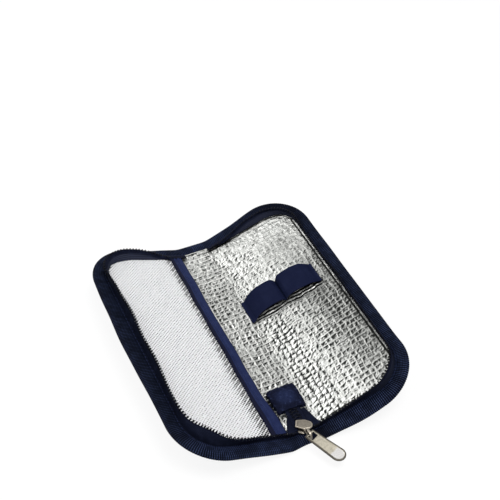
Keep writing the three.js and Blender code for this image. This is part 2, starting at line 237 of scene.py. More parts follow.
def half_length(u, inset):
    """Half the length of a leaf at u, inside an outline drawn in from the seam line: straight up to
    the corner's centre, then the height of the corner's quarter circle."""
    radius = SEAM_RADIUS - inset
    over = np.clip(u - (SEAM_WIDTH - SEAM_RADIUS), 0, radius)
    return SEAM_HALF - SEAM_RADIUS + np.sqrt(radius ** 2 - over ** 2)


def from_spine(s):
    """Distance u from the fold, measured back along whichever straight end of the seam is nearer."""
    return np.minimum(s, SEAM_LENGTH - s) - SPINE_HALF


SLACK_SINES = ((1.0, 9.7, 0), (0.7, 6.1, 1), (0.5, 15.3, 2))
SLACK_FROM_FOLD = (6, 20)


def slack(s):
    """The slow waves of a sewn edge: three sines along the seam that die out on the spine."""
    return ripples(s, *SLACK_SINES) * rise(from_spine(s), *SLACK_FROM_FOLD)


# Meshes

TUBE_SIDES = 5


def signed_volume(points, faces):
    """Sum of the signed tetrahedra from the origin to the fan of triangles in each polygon."""
    total = 0.0
    for group in faces:
        corners = points[group]
        for k in range(1, group.shape[1] - 1):
            normal = np.cross(corners[:, k], corners[:, k + 1])
            total += (corners[:, 0] * normal).sum()
    return total


def make_piece(name, points, faces, finish, cloth=None, shade=None, crease=50):
    """A mesh object from points in mm and arrays of polygons, turned so that its faces point out.
    cloth is a (along, across) pair per point in mm, and shade one number per point."""
    points = np.asarray(points, float).reshape(-1, 3)
    if signed_volume(points, faces) < 0:
        faces = [group[:, ::-1] for group in faces]
    corners = np.concatenate([group.ravel() for group in faces]).astype(np.int32)
    sizes = np.concatenate([np.full(len(group), group.shape[1]) for group in faces])
    starts = np.concatenate([[0], np.cumsum(sizes)[:-1]]).astype(np.int32)
    mesh = bpy.data.meshes.new(name)
    mesh.vertices.add(len(points))
    mesh.vertices.foreach_set("co", (points * MM).astype(np.float32).ravel())
    mesh.loops.add(len(corners))
    mesh.loops.foreach_set("vertex_index", corners)
    mesh.polygons.add(len(sizes))
    mesh.polygons.foreach_set("loop_start", starts)
    mesh.update(calc_edges=True)
    if cloth is not None:
        layer = mesh.uv_layers.new(name="cloth")
        layer.uv.foreach_set("vector", np.asarray(cloth, np.float32).reshape(-1, 2)[corners].ravel())
    if shade is not None:
        layer = mesh.attributes.new("shade", "FLOAT", "POINT")
        layer.data.foreach_set("value", np.asarray(shade, np.float32).ravel())
    mesh.polygons.foreach_set("use_smooth", np.ones(len(sizes), bool))
    mesh.set_sharp_from_angle(angle=np.radians(crease))
    mesh.materials.append(finish)
    piece = bpy.data.objects.new(name, mesh)
    bpy.context.scene.collection.objects.link(piece)
    return piece


def ring_quads(low, high):
    """Quads between the points of neighbouring rings."""
    return np.stack([low, np.roll(low, -1, -1), np.roll(high, -1, -1), high], -1).reshape(-1, 4)


def tube_faces(rings, sides, tubes=1, closed=False):
    """Quads between the neighbouring rings of each tube, and a many-sided cap on each open end."""
    index = np.arange(tubes * rings * sides).reshape(tubes, rings, sides)
    ring = np.concatenate([index, index[:, :1]], 1) if closed else index
    quads = ring_quads(ring[:, :-1], ring[:, 1:])
    return [quads] if closed else [quads, index[:, 0, ::-1], index[:, -1]]


def plate_faces(columns, rows, stride):
    """A closed plate: a fine face, a back that keeps one column in every stride, and a rim."""
    front = np.arange(columns * rows).reshape(columns, rows)
    backs = (columns - 1) // stride + 1
    back = columns * rows + np.arange(backs * rows).reshape(backs, rows)

    def quads(a, b, c, d):
        return np.stack([a, b, c, d], -1).reshape(-1, 4)

    spans = front[:-1].reshape(backs - 1, stride, rows)
    spans = np.concatenate([spans, front[stride::stride, None]], 1)
    near = np.concatenate([spans[:, ::-1, 0], back[:-1, :1], back[1:, :1]], 1)
    far = np.concatenate([spans[:, :, -1], back[1:, -1:], back[:-1, -1:]], 1)
    return [
        quads(front[:-1, :-1], front[1:, :-1], front[1:, 1:], front[:-1, 1:]),
        quads(back[:-1, :-1], back[:-1, 1:], back[1:, 1:], back[1:, :-1]),
        quads(front[0, :-1], front[0, 1:], back[0, 1:], back[0, :-1]),
        quads(front[-1, 1:], front[-1, :-1], back[-1, :-1], back[-1, 1:]),
        near,
        far,
    ]


def leaf_plate(side, u, rows, inset, face, back, stride=1):
    """A leaf-shaped plate on a grid: v is a share of the half length at each u, and face and back
    give the heights of its two sides at (u, v)."""
    v = half_length(u[:, None], inset) * np.linspace(-1, 1, rows)
    u = np.broadcast_to(u[:, None], v.shape)
    sides = [(u, v, face(u, v)), (u[::stride], v[::stride], back(u[::stride], v[::stride]))]
    points = np.concatenate([place(side, *grid).reshape(-1, 3) for grid in sides])
    cloth = np.concatenate([np.stack([grid[1], grid[0]], -1).reshape(-1, 2) for grid in sides])
    return points, plate_faces(len(u), rows, stride), cloth


def level(height):
    """A face of a plate that lies at one height."""
    return lambda u, v: np.full(np.shape(u), height)


def helix(centre, across, up, turns, thread, steps=10, crowd=0.0):
    """A wound thread: a point circles the centre line in the plane of across and up, and a small
    ring, square to its path, follows it. With crowd, it moves on mostly at the foot of each turn, so
    that the two legs of a loop stand together. Gives the rings' points and the number of rings."""
    count = int(turns * steps) + 1
    angle = np.linspace(0, 2 * np.pi * turns, count)
    at = np.clip((angle + crowd * np.cos(angle)) / angle[-1], 0, 1) * (len(centre) - 1)
    grid = np.arange(len(centre))
    line, wide, tall = (
        np.stack([np.interp(at, grid, track[:, k]) for k in range(3)], -1) for track in (centre, across, up))
    angle = angle[:, None]
    radial = wide * np.cos(angle) + tall * np.sin(angle)
    path = line + radial
    along = np.gradient(path, axis=0)
    along /= np.linalg.norm(along, axis=1, keepdims=True)
    normal = radial - (radial * along).sum(1, keepdims=True) * along
    normal /= np.linalg.norm(normal, axis=1, keepdims=True)
    other = np.cross(along, normal)
    turn = ring_angles(TUBE_SIDES)[None, :, None]
    rings = path[:, None] + thread * (np.cos(turn) * normal[:, None] + np.sin(turn) * other[:, None])
    return rings.reshape(-1, 3), count


def outline_rings(outline, levels):
    """Rings of a solid cut from an outline: each level is (inset, height), where an inset draws every
    point in along the outline's own normal."""
    ahead = np.roll(outline, -1, 0) - np.roll(outline, 1, 0)
    normal = np.stack([ahead[:, 1], -ahead[:, 0]], -1)
    normal /= np.linalg.norm(normal, axis=1, keepdims=True)
    rings = [np.column_stack([outline - inset * normal, np.full(len(outline), height)])
             for inset, height in levels]
    return np.array(rings)


def rounded(corners, radius, steps=5):
    """A polygon, counter-clockwise, whose corners are cut by quarter-like arcs: a quadratic curve from
    one side to the next through the corner."""
    corners = np.asarray(corners, float)
    before, after = np.roll(corners, 1, 0) - corners, np.roll(corners, -1, 0) - corners
    before_length, after_length = np.linalg.norm(before, axis=1), np.linalg.norm(after, axis=1)
    reach = np.minimum(radius, 0.45 * np.minimum(before_length, after_length))
    start = corners + before * (reach / before_length)[:, None]
    end = corners + after * (reach / after_length)[:, None]
    t = np.linspace(0, 1, steps)[None, :, None]
    curve = (1 - t) ** 2 * start[:, None] + 2 * t * (1 - t) * corners[:, None] + t ** 2 * end[:, None]
    return curve.reshape(-1, 2)


# Finishes

RIB_PITCH = 1.35
RIB_SLANT = 0.08
HERRINGBONE = 2.2


class Value:
    """An output socket that joins in Python arithmetic: every operator adds one Math node."""

    def __init__(self, nodes, socket):
        self.nodes = nodes
        self.socket = socket

    def __add__(self, other):
        return self.nodes.math("ADD", self, other)

    def __sub__(self, other):
        return self.nodes.math("SUBTRACT", self, other)

    def __rsub__(self, other):
        return self.nodes.math("SUBTRACT", other, self)

    def __mul__(self, other):
        return self.nodes.math("MULTIPLY", self, other)

    def __pow__(self, other):
        return self.nodes.math("POWER", self, other)

    def __rpow__(self, other):
        return self.nodes.math("POWER", other, self)

    __radd__ = __add__
    __rmul__ = __mul__

    def wave(self, pitch):
        """A sine of this pitch, raised to lie from 0 to 1."""
        return self.nodes.math("SINE", self * (2 * np.pi / pitch)) * 0.5 + 0.5

    def above(self, low, high):
        """0 below low, 1 above high, and a smooth step between."""
        settings = {"interpolation_type": "SMOOTHSTEP"}
        return self.nodes.add("ShaderNodeMapRange", settings, {"Value": self, 1: low, 2: high})


class Nodes:
    """A node tree that is being built."""

    def __init__(self, tree):
        self.tree = tree

    def add(self, kind, settings=None, sockets=None, output=0):
        """Adds any node: its settings first, then the values or links of its sockets."""
        node = self.tree.nodes.new(kind)
        for key, value in (settings or {}).items():
            setattr(node, key, value)
        for key, value in (sockets or {}).items():
            self.link(node.inputs[key], value)
        return Value(self, node.outputs[output])

    def link(self, socket, value):
        """Links a socket to a Value, or sets it to a number, colour or vector."""
        if isinstance(value, Value):
            self.tree.links.new(value.socket, socket)
        else:
            socket.default_value = value

    def math(self, operation, *terms):
        """Adds one Math node."""
        return self.add("ShaderNodeMath", {"operation": operation}, dict(enumerate(terms)))

    def seen(self):
        """1 for a ray from the camera, off a shiny face or through glass, and 0 for one that lights."""
        shown = self.add("ShaderNodeLightPath", output="Is Camera Ray")
        for ray in ("Is Glossy Ray", "Is Transmission Ray"):
            shown = self.math("MAXIMUM", shown, self.add("ShaderNodeLightPath", output=ray))
        return shown


class Finish(Nodes):
    """A procedural material that is being built round one Principled shader."""

    def __init__(self, name, **constants):
        self.material = bpy.data.materials.new(name)
        self.material.use_nodes = True
        super().__init__(self.material.node_tree)
        self.shader = self.tree.nodes["Principled BSDF"]
        for socket, value in constants.items():
            self.set(socket.replace("_", " "), value)

    def set(self, socket, value):
        """Feeds a value to a socket of the shader."""
        self.link(self.shader.inputs[socket], value)

    def spot(self):
        """The place on the object, as a vector in metres."""
        return self.add("ShaderNodeTexCoord", output="Object")

    def parts(self, vector, count, scale=1.0):
        """The first parts of a vector, each times a scale."""
        split = (self.add("ShaderNodeSeparateXYZ", None, {0: vector}, k) for k in range(count))
        return [part if scale == 1 else part * scale for part in split]

    def cloth(self):
        """The piece's own (along, across) coordinates in millimetres."""
        return self.parts(self.add("ShaderNodeUVMap", {"uv_map": "cloth"}), 2)

    def shade(self):
        """The number that the piece carries at each point."""
        return self.add("ShaderNodeAttribute", {"attribute_name": "shade"}, output="Fac")

    def noise(self, vector, size, detail=3.0, rough=0.55):
        """Cloudy noise from 0 to 1 whose blotches measure about size millimetres."""
        sockets = {"Vector": vector, "Scale": 1 / (size * MM), "Detail": detail, "Roughness": rough}
        return self.add("ShaderNodeTexNoise", None, sockets)

    def mix(self, share, first, second):
        """A colour that goes from the first to the second as share goes from 0 to 1."""
        return self.add("ShaderNodeMix", {"data_type": "RGBA"}, {0: share, 6: first, 7: second}, 2)

    def bump(self, height, depth):
        """Feeds a height from 0 to 1, with its depth in millimetres, to the shader's normal."""
        self.set("Normal", self.add("ShaderNodeBump", None, {"Height": height, "Distance": depth * MM}))
        return self.material


def colour(red, green, blue):
    """A colour given as it shows on a screen, 0 to 255, turned to the linear light of a shader."""
    share = np.array([red, green, blue]) / 255
    linear = np.where(share <= 0.04045, share / 12.92, ((share + 0.055) / 1.055) ** 2.4)
    return (*linear.tolist(), 1.0)


def satin_cover():
    """Smooth navy cover cloth: a fine plain weave, faint rubbed patches and a soft sheen."""
    finish = Finish("satin_cover", Specular_IOR_Level=0.06)
    vector = finish.spot()
    x, y, z = finish.parts(vector, 3, 1 / MM)
    weave = (x * 0.94 + z * 0.34).wave(0.42) * y.wave(0.42)
    rubbed = finish.noise(vector, 14).above(0.35, 0.75)
    thread = finish.mix(weave, colour(35, 47, 74), colour(43, 57, 88))
    finish.set("Base Color", finish.mix(rubbed * 0.25, thread, colour(51, 66, 97)))
    finish.set("Roughness", 0.62 - rubbed * 0.1)
    return finish.bump(weave + finish.noise(vector, 3) * 0.6, 0.05)


def woven_binding():
    """Herringbone tape: twill lines that change direction along the tape's middle, worn paler in places.
    A shade up to 1 darkens it: painted shadow and painted shade in places, and a plain darkening along
    one side. A shade of -1 is the paler outside of the case."""
    finish = Finish("woven_binding", Specular_IOR_Level=0.03)
    along, across = finish.cloth()
    vector = finish.spot()
    zigzag = along + finish.math("PINGPONG", across, HERRINGBONE) * RIB_SLANT
    twill = zigzag.wave(RIB_PITCH) ** 3.0
    picks = across.wave(1.5) * 0.5 + 0.5
    yarn = along.wave(0.32) * across.wave(0.38)
    patches = finish.noise(vector, 9).above(0.3, 0.8)
    worn = finish.noise(vector, 6).above(0.35, 0.65) * 0.55 + 0.45
    outer = (0 - finish.shade()).above(0.2, 0.9)
    base = finish.mix(twill * picks * worn, colour(1, 2, 6), colour(58, 70, 105))
    base = finish.mix(patches * 0.06, base, colour(34, 43, 66))
    base = finish.mix(outer * 0.24, base, colour(56, 68, 102))
    # Shade up to 1 mixes in dark navy: painted shadow and shade, and a plain darkening along the pocket's
    # side
    finish.set("Base Color", finish.mix(finish.shade(), base, colour(4, 5, 12)))
    finish.set("Roughness", 0.7 - patches * 0.12)
    return finish.bump(twill * 0.7 + yarn * 0.5, 0.09)


def zip_cloth():
    """Dark zip tape: close ribs along the tape, crossed by finer picks, with a painted light in grey where
    its shade is 1.
    """
    finish = Finish("zip_cloth", Specular_IOR_Level=0.03)
    along, across = finish.cloth()
    ribs = across.wave(0.75)
    picks = along.wave(0.5)
    dust = finish.noise(finish.spot(), 5).above(0.45, 0.8)
    base = finish.mix(ribs * picks, colour(7, 9, 20), colour(27, 33, 54))
    # Painted light: the tape turns a lighter grey where its shade is 1
    lit_grey = finish.mix(ribs * picks, colour(27, 30, 42), colour(58, 62, 80))
    base = finish.mix(finish.shade(), base, lit_grey)
    finish.set("Base Color", finish.mix(dust * 0.2, base, colour(44, 50, 74)))
    finish.set("Roughness", 0.8 - ribs * 0.12)
    return finish.bump(ribs + picks * 0.5, 0.08)


def nylon_coil():
    """Black nylon thread of the zip: glossy, with dull rubbed stretches."""
    finish = Finish("nylon_coil", Specular_IOR_Level=0.08)
    vector = finish.spot()
    rubbed = finish.noise(vector, 2.5).above(0.4, 0.7)
    finish.set("Base Color", finish.mix(rubbed, colour(3, 4, 9), colour(18, 20, 32)))
    finish.set("Roughness", 0.36 + rubbed * 0.25)
    return finish.bump(finish.noise(vector, 0.6), 0.02)


def foil_lining():
    """Metal foil over a thread grid. Its colour is painted from its shade, a painted reflection and shade
    that runs from dark pits through dull silver to bright threads, with a fine crinkle."""
    finish = Finish("foil_lining", Metallic=1.0)
    crinkle = finish.noise(finish.spot(), 0.9, 4, 0.65)
    # The shade carries the foil's painted reflection and shade
    ragged = finish.shade() + (crinkle - 0.5) * 0.35
    dull = finish.mix(ragged.above(0.0, 0.42), colour(30, 31, 30), colour(176, 177, 174))
    finish.set("Base Color", finish.mix(ragged.above(0.42, 0.95), dull, colour(250, 250, 247)))
    finish.set("Roughness", 0.24 + crinkle * 0.25)
    return finish.bump(crinkle, 0.35)


def net_yarn():
    """White polyester yarn: twisted fibres and faintly grey in places."""
    finish = Finish("net_yarn", Roughness=0.62, Specular_IOR_Level=0.2)
    vector = finish.spot()
    x, y = finish.parts(vector, 2, 1 / MM)
    fibre = (x + y).wave(0.16) * (x - y).wave(0.16)
    grey = finish.noise(vector, 6).above(0.35, 0.8)
    base = finish.mix(fibre, colour(231, 232, 234), colour(247, 247, 248))
    finish.set("Base Color", finish.mix(grey * 0.3, base, colour(222, 223, 226)))
    return finish.bump(fibre, 0.03)


def satin_ribbon():
    """Bright navy satin ribbon: long floats along the ribbon, a painted sheen in lighter streaks, and a dark
    border where its shade is 1."""
    finish = Finish("satin_ribbon", Specular_IOR_Level=0.05)
    along, across = finish.cloth()
    floats = across.wave(0.24)
    picks = along.wave(0.9) * across.wave(0.48)
    streaks = finish.noise(finish.spot(), 4).above(0.3, 0.75)
    border = finish.shade() + (along.wave(1.7) - 0.5) * 0.3
    base = finish.mix(floats, colour(20, 26, 56), colour(31, 40, 75))
    # Painted sheen: lighter navy in the streaks
    base = finish.mix(streaks * 0.4, base, colour(39, 49, 87))
    finish.set("Base Color", finish.mix(border.above(0.3, 0.8), base, colour(15, 17, 36)))
    finish.set("Roughness", 0.5 - streaks * 0.12)
    return finish.bump(floats * 0.6 + picks * 0.5, 0.05)


def elastic_web():
    """Navy elastic webbing: fine cords along its length, crossed by close picks."""
    finish = Finish("elastic_web", Specular_IOR_Level=0.03)
    along, across = finish.cloth()
    cords = across.wave(0.85)
    picks = along.wave(0.45)
    worn = finish.noise(finish.spot(), 7).above(0.35, 0.8)
    base = finish.mix(cords * 0.6 + picks * 0.3, colour(12, 16, 37), colour(22, 28, 54))
    finish.set("Base Color", finish.mix(worn * 0.2, base, colour(32, 38, 66)))
    finish.set("Roughness", 0.66 - worn * 0.1)
    return finish.bump(cords + picks * 0.5, 0.06)


def tab_cloth():
    """Soft navy tab cloth: a loose diagonal weave with pale lint, and a painted light where its shade is 1.
    """
    finish = Finish("tab_cloth", Specular_IOR_Level=0.05)
    along, across = finish.cloth()
    vector = finish.spot()
    twill = (along + across * 1.1).wave(1.1)
    lint = finish.noise(vector, 2.2, 4).above(0.5, 0.75)
    base = finish.mix(twill, colour(5, 7, 20), colour(17, 22, 45))
    # Painted light on the top of the tab's puff
    base = finish.mix(finish.shade().above(0.3, 1.0) * 0.28, base, colour(44, 56, 96))
    finish.set("Base Color", finish.mix(lint * 0.4, base, colour(56, 66, 104)))
    finish.set("Roughness", 0.75 - twill * 0.1)
    return finish.bump(twill + finish.noise(vector, 0.9) * 0.6, 0.12)


def nickel(name, tone, dark, grain):
    """Nickel plate: brushed grain and faint blotches. Its shade runs from 0, painted shade in low places,
    at edges and in hollows, through 1 on plain plate to 2 where it is polished bright."""
    finish = Finish(name, Metallic=1.0)
    vector = finish.spot()
    settings = {"operation": "MULTIPLY"}
    stretched = finish.add("ShaderNodeVectorMath", settings, {0: vector, 1: (6.0, 1.0, 1.0)})
    scratches = finish.noise(stretched, 1.2, 3)
    blotch = finish.noise(vector, 1.8, 4).above(0.3, 0.75)
    speckle = finish.noise(vector, 0.55, 2).above(0.4, 0.7)
    polished = finish.shade().above(1.2, 1.8)
    bright = finish.mix(speckle, colour(190, 188, 186), colour(206, 205, 203))
    plate = finish.mix(blotch * 0.3 + speckle * 0.12, tone, dark)
    plate = finish.mix(polished, plate, bright)
    # Painted shade: the plate darkens where its shade is below 1
    finish.set("Base Color", finish.mix(1 - finish.shade(), plate, dark))
    finish.set("Roughness", grain + scratches * 0.22)
    return finish.bump(scratches + blotch * 0.4, 0.03)


def foam_sheet():
    """Pale closed-cell foam: round cells of about half a millimetre."""
    finish = Finish("foam_sheet", Roughness=0.9)
    vector = finish.spot()
    cells = finish.add("ShaderNodeTexVoronoi", None, {"Vector": vector, "Scale": 1 / (0.6 * MM)})
    clouds = finish.noise(vector, 8)
    base = finish.mix(cells, colour(214, 214, 210), colour(190, 190, 186))
    finish.set("Base Color", finish.mix(clouds * 0.3, base, colour(228, 227, 220)))
    return finish.bump(cells, 0.15)


def sewing_thread():
    """Twisted navy thread with a pale ply."""
    finish = Finish("sewing_thread", Roughness=0.6, Specular_IOR_Level=0.05)
    x, y, z = finish.parts(finish.spot(), 3, 1 / MM)
    ply = (x + y + z).wave(0.35)
    finish.set("Base Color", finish.mix(ply, colour(16, 20, 40), colour(40, 48, 80)))
    return finish.bump(ply, 0.03)


COVER = satin_cover()
BINDING_CLOTH = woven_binding()
ZIP_CLOTH = zip_cloth()
COIL = nylon_coil()
FOIL = foil_lining()
NET = net_yarn()
RIBBON = satin_ribbon()
ELASTIC = elastic_web()
TAB = tab_cloth()
NICKEL = nickel("nickel_cast", colour(156, 149, 137), colour(50, 47, 43), 0.22)
PULL_NICKEL = nickel("nickel_satin", colour(189, 183, 167), colour(52, 49, 45), 0.3)
FOAM = foam_sheet()
THREAD = sewing_thread()


# How pieces ride, and the flat size of a leaf's cloth

def label(nodes):
    """Hides the nodes that a piece replaces."""
    if nodes:
        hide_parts(*nodes)


def bend(piece, leaf, zone, slot, *nodes):
    """Bakes a piece's place into its mesh and hides the nodes that it replaces."""
    side = LEAVES[leaf]
    pivot = np.array([side * SPINE_HALF, 0, FOLD_HEIGHT])
    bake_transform(piece)
    label(nodes)


def fasten(piece, body, slot, *nodes):
    """Fixes a piece to one body."""
    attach(piece, body)
    label(nodes)


def leaf_cloth(near_u, inset):
    """Flat size and area, in metres, of a cloth from near_u to an outline drawn in from the seam line: a
    rectangle less what its two round corners cut off."""
    width = SEAM_WIDTH - inset - near_u
    length = 2 * (SEAM_HALF - inset)
    area = width * length - 2 * (1 - np.pi / 4) * (SEAM_RADIUS - inset) ** 2
    return (width * MM, length * MM), area * MM ** 2


# Cover and foam

COVER_COLUMNS = 43
COVER_ROWS = 97
COVER_INSET = 0.3
COVER_PUFF = 0.9
COVER_DIP = 0.35
CREASE_REACH = 2.2
SWELL_FROM_SEAM = (0.5, 16)
SWELL_FROM_FOLD = (3, 14)
CREASE_FROM_FOLD = (3, 8)


def cover_half(leaf):
    """Outer cloth of a half case: its face swells outwards away from the fold and the seam, and dips
    to a crease within two millimetres of the seam."""
    u = np.linspace(-SPINE_HALF, SEAM_WIDTH - COVER_INSET, COVER_COLUMNS)

    def face(u, v):
        over_u = np.maximum(u - (SEAM_WIDTH - SEAM_RADIUS), 0)
        over_v = np.maximum(np.abs(v) - (SEAM_HALF - SEAM_RADIUS), 0)
        room = SEAM_RADIUS - np.hypot(over_u, over_v)
        swell = rise(room, *SWELL_FROM_SEAM) * rise(u, *SWELL_FROM_FOLD)
        crease = fall(room, CREASE_REACH, CREASE_REACH) * rise(u, *CREASE_FROM_FOLD)
        return COVER_DIP * crease - COVER_PUFF * swell

    points, faces, cloth = leaf_plate(LEAVES[leaf], u, COVER_ROWS, COVER_INSET, face, level(COVER_IN))
    piece = make_piece(leaf + "_cover_cloth", points, faces, COVER, cloth)
    bend(piece, leaf, COVER_ZONE, "cover_fabric", leaf + "_cover", "spine_cover")
    flat, area = leaf_cloth(-SPINE_HALF, 0)


FOAM_COLUMNS = 25
FOAM_ROWS = 73
FOAM_INSET = 1.6
FOAM_START = 5.5
SPINE_FOAM_HALF = 7.5
FOAM_EDGE = 2.0
FOAM_RIM = 0.25


def foam_pad(owner, side, near_u, far_u, body):
    """A foam sheet between cover and foil: level in the middle, its faces drawn together by a rounded
    edge two millimetres wide."""
    u = np.linspace(near_u, far_u, FOAM_COLUMNS)
    middle, half = (FOAM_HIGH + FOAM_LOW) / 2, (FOAM_HIGH - FOAM_LOW) / 2

    def swell(u, v):
        gap = np.minimum(half_length(u, FOAM_INSET) - np.abs(v), np.minimum(u - near_u, far_u - u))
        edge = np.sqrt(1 - (1 - np.clip(gap / FOAM_EDGE, 0, 1)) ** 2)
        return half * (FOAM_RIM + (1 - FOAM_RIM) * edge)

    def face(u, v):
        return middle + swell(u, v)

    def back(u, v):
        return middle - swell(u, v)

    points, faces, cloth = leaf_plate(side, u, FOAM_ROWS, FOAM_INSET, face, back)
    piece = make_piece(owner + "_foam_pad", points, faces, FOAM, cloth)
    fasten(piece, body, "foam", owner + "_foam")


# Foil lining

FOIL_INSET = 0.9
FOIL_COLUMNS = 193
FOIL_ROWS = 433
FOIL_STRIDE = 8
FOIL_OPEN_COLUMNS = 64
FOIL_SWELL = 0.07
FOIL_CREASE = 80
STRAP_WIDTH = 19.4
STRAP_CENTRE = 17.5


def lattice(column, row, seed):
    """A number from 0 to 1 that looks random, the same for every use of one square of a grid: the
    fraction that is left of a large sine."""
    value = np.sin(column * 12.9898 + row * 78.233 + seed * 37.719) * 43758.5453
    return value - np.floor(value)


def grain(u, v, size, seed):
    """Smooth noise from 0 to 1: random values on a grid of the given size, joined by smooth steps."""
    x, y = u / size, v / size
    column, row = np.floor(x), np.floor(y)
    at_x, at_y = smooth(x - column), smooth(y - row)
    low = lattice(column, row, seed) * (1 - at_x) + lattice(column + 1, row, seed) * at_x
    high = lattice(column, row + 1, seed) * (1 - at_x) + lattice(column + 1, row + 1, seed) * at_x
    return low * (1 - at_y) + high * at_y


PUFFED_END = (46, 18)
PUFFED_START = (13, 5)
PUFFED_NEAR = (20, 40)
PUFFED_FAR_SHARE = 0.55


def puffed(u, v):
    """Share from 0 to 1 by which the foil puffs up between its threads: most beside the pen leaf's fold
    and at its near end. Here, and in the relief and tone, u runs from the spine's middle line and is
    positive on the pen leaf."""
    near = PUFFED_FAR_SHARE + (1 - PUFFED_FAR_SHARE) * fall(v, *PUFFED_NEAR)
    return fall(u, *PUFFED_END) * rise(u, *PUFFED_START) * near


PLEAT_PITCH = 2.6
PLEAT_OFFSET = 1.6
PLEAT_WANDER = 1.2
PLEAT_START = (-7, 2)
PLEAT_END = (1.8, 2.6)
LOOP_SPANS = ((26, 12), (54, 13))


def strap_pleats(u, v):
    """Pleats that the strap draws in the foil: a cosine from 0 to 1 of the distance from the strap's near
    edge, broken by noise, and the share of it that shows, which dies out beside the two loops."""
    off = STRAP_CENTRE - STRAP_WIDTH / 2 - v + PLEAT_WANDER * (grain(u, v, 5.0, 14) - 0.5)
    wave = 0.5 - 0.5 * np.cos(2 * np.pi * (off - PLEAT_OFFSET) / PLEAT_PITCH)
    pleat = (1.8 * wave - 0.75) * (0.35 + 0.9 * grain(u, v, 2.1, 15))
    loops = sum(np.exp(-((u - middle) / reach) ** 4) for middle, reach in LOOP_SPANS)
    share = rise(off, *PLEAT_START) * (1 - rise(off, *PLEAT_END)) * np.minimum(loops, 1)
    return share, np.clip(pleat, 0, 1)


THREAD_PITCH = (4.32, 3.83)
THREAD_WIDTH = 0.55
THREAD_WANDER = ((1.5, 9.0), (1.2, 3.4))
THREAD_FADE = 3.2
FAINT_THREADS = (15, 50)
FAINT_LOSS = 0.6
FLOOR_LEVEL = 0.42
RIDGE_LEVEL = 0.95
SQUARE_TILT = 0.5
SQUARE_DENT = 0.3
SQUARE_CRUMPLE = 0.5
SQUARE_PUFF = 0.66
PUFFED_RIDGE_LOSS = 0.7
PLEAT_DEPTH = 0.7


def thread_square(at, pitch, u, v, seed):
    """Where a point lies between two threads that wander by slow and quick noise: the number of its
    square, its share of the way across that, and the height of the bell-shaped ridge of a thread."""
    for k, (reach, size) in enumerate(THREAD_WANDER):
        at = at + reach * (grain(u, v, size, seed + k) - 0.5)
    square = np.floor(at / pitch)
    share = at / pitch - square
    return square, share, bell(np.minimum(share, 1 - share) * pitch, 0, THREAD_WIDTH)


def foil_relief(u, v):
    """Height of the foil from 0 to 1: ridges over two sets of threads, which fade by smooth noise. The
    squares between them are tilted planes with crumpled dents, or pillows where the foil is puffed up."""
    column, at_u, over_u = thread_square(u, THREAD_PITCH[0], u, v, 1)
    row, at_v, over_v = thread_square(v, THREAD_PITCH[1], u, v, 3)
    over_u = over_u * (0.05 + 0.7 * grain(u, v, THREAD_FADE, 5)) * (1 - FAINT_LOSS * rise(v, *FAINT_THREADS))
    over_v = over_v * (0.1 + 0.9 * grain(u, v, THREAD_FADE, 6))
    pillow = puffed(u, v)
    cell = np.sin(np.pi * at_u) * np.sin(np.pi * at_v)
    tilt = (lattice(column, row, 7) - 0.5) * (at_u - 0.5) + (lattice(column, row, 8) - 0.5) * (at_v - 0.5)
    dent = lattice(column, row, 9) * cell * (1 - pillow)
    crumple = grain(u, v, 1.5, 10) + 0.6 * grain(u, v, 0.85, 11) - 0.8
    floor = FLOOR_LEVEL + SQUARE_TILT * tilt - SQUARE_DENT * dent + SQUARE_CRUMPLE * crumple
    floor = floor + SQUARE_PUFF * pillow * (cell ** 0.7 - 0.45)
    ridge = np.maximum(over_u, over_v) * (1 - PUFFED_RIDGE_LOSS * pillow)
    share, pleat = strap_pleats(u, v)
    return np.clip(floor + (RIDGE_LEVEL - floor) * ridge + share * (pleat - 0.5) * PLEAT_DEPTH, 0, 1)


SLOPE_STEP = 0.2
TONE_MIDDLE = 0.36
TONE_LEAST = -0.3
PLEAT_DARKER = 0.12
TONE_OF_HEIGHT = 0.4
TONE_OF_SLOPE = (0.34, -0.46)
TONE_CHANGE = {"near": 0.02, "side": -0.21, "puffed": -0.07, "far": 0.08, "shadow": -0.4}
FACET_GAIN = 1.2
FACET_CHANGE = {"side": -0.5, "near": 0.2, "puffed": 0.7, "far": -0.35}
FACET_PATCHES = (0.7, 0.6)
SPECKS = 0.3
DRIFT = 0.16
NEAR_BRIGHT = (-45, 45)
SIDE_DARK = (36, 30)
SIDE_DARK_FAR = (22, 40)
FAR_DULL = (25, 60)
FAR_DULL_SIDE = (6, 34)
FAR_DULL_LEAST = 0.35
FAR_DULL_PUFFED = 20
SIDE_DARK_LOSS = 0.65
SIDE_DULL = (42, 24)
NEAR_CLEAR = (-40, 30)
NEAR_CLEAR_END = (50, 20)
TAB_SHADOW = (-11.4, 1.8)
TAB_SHADOW_START = (-57, 5)
TAB_SHADOW_END = (-84, 5)


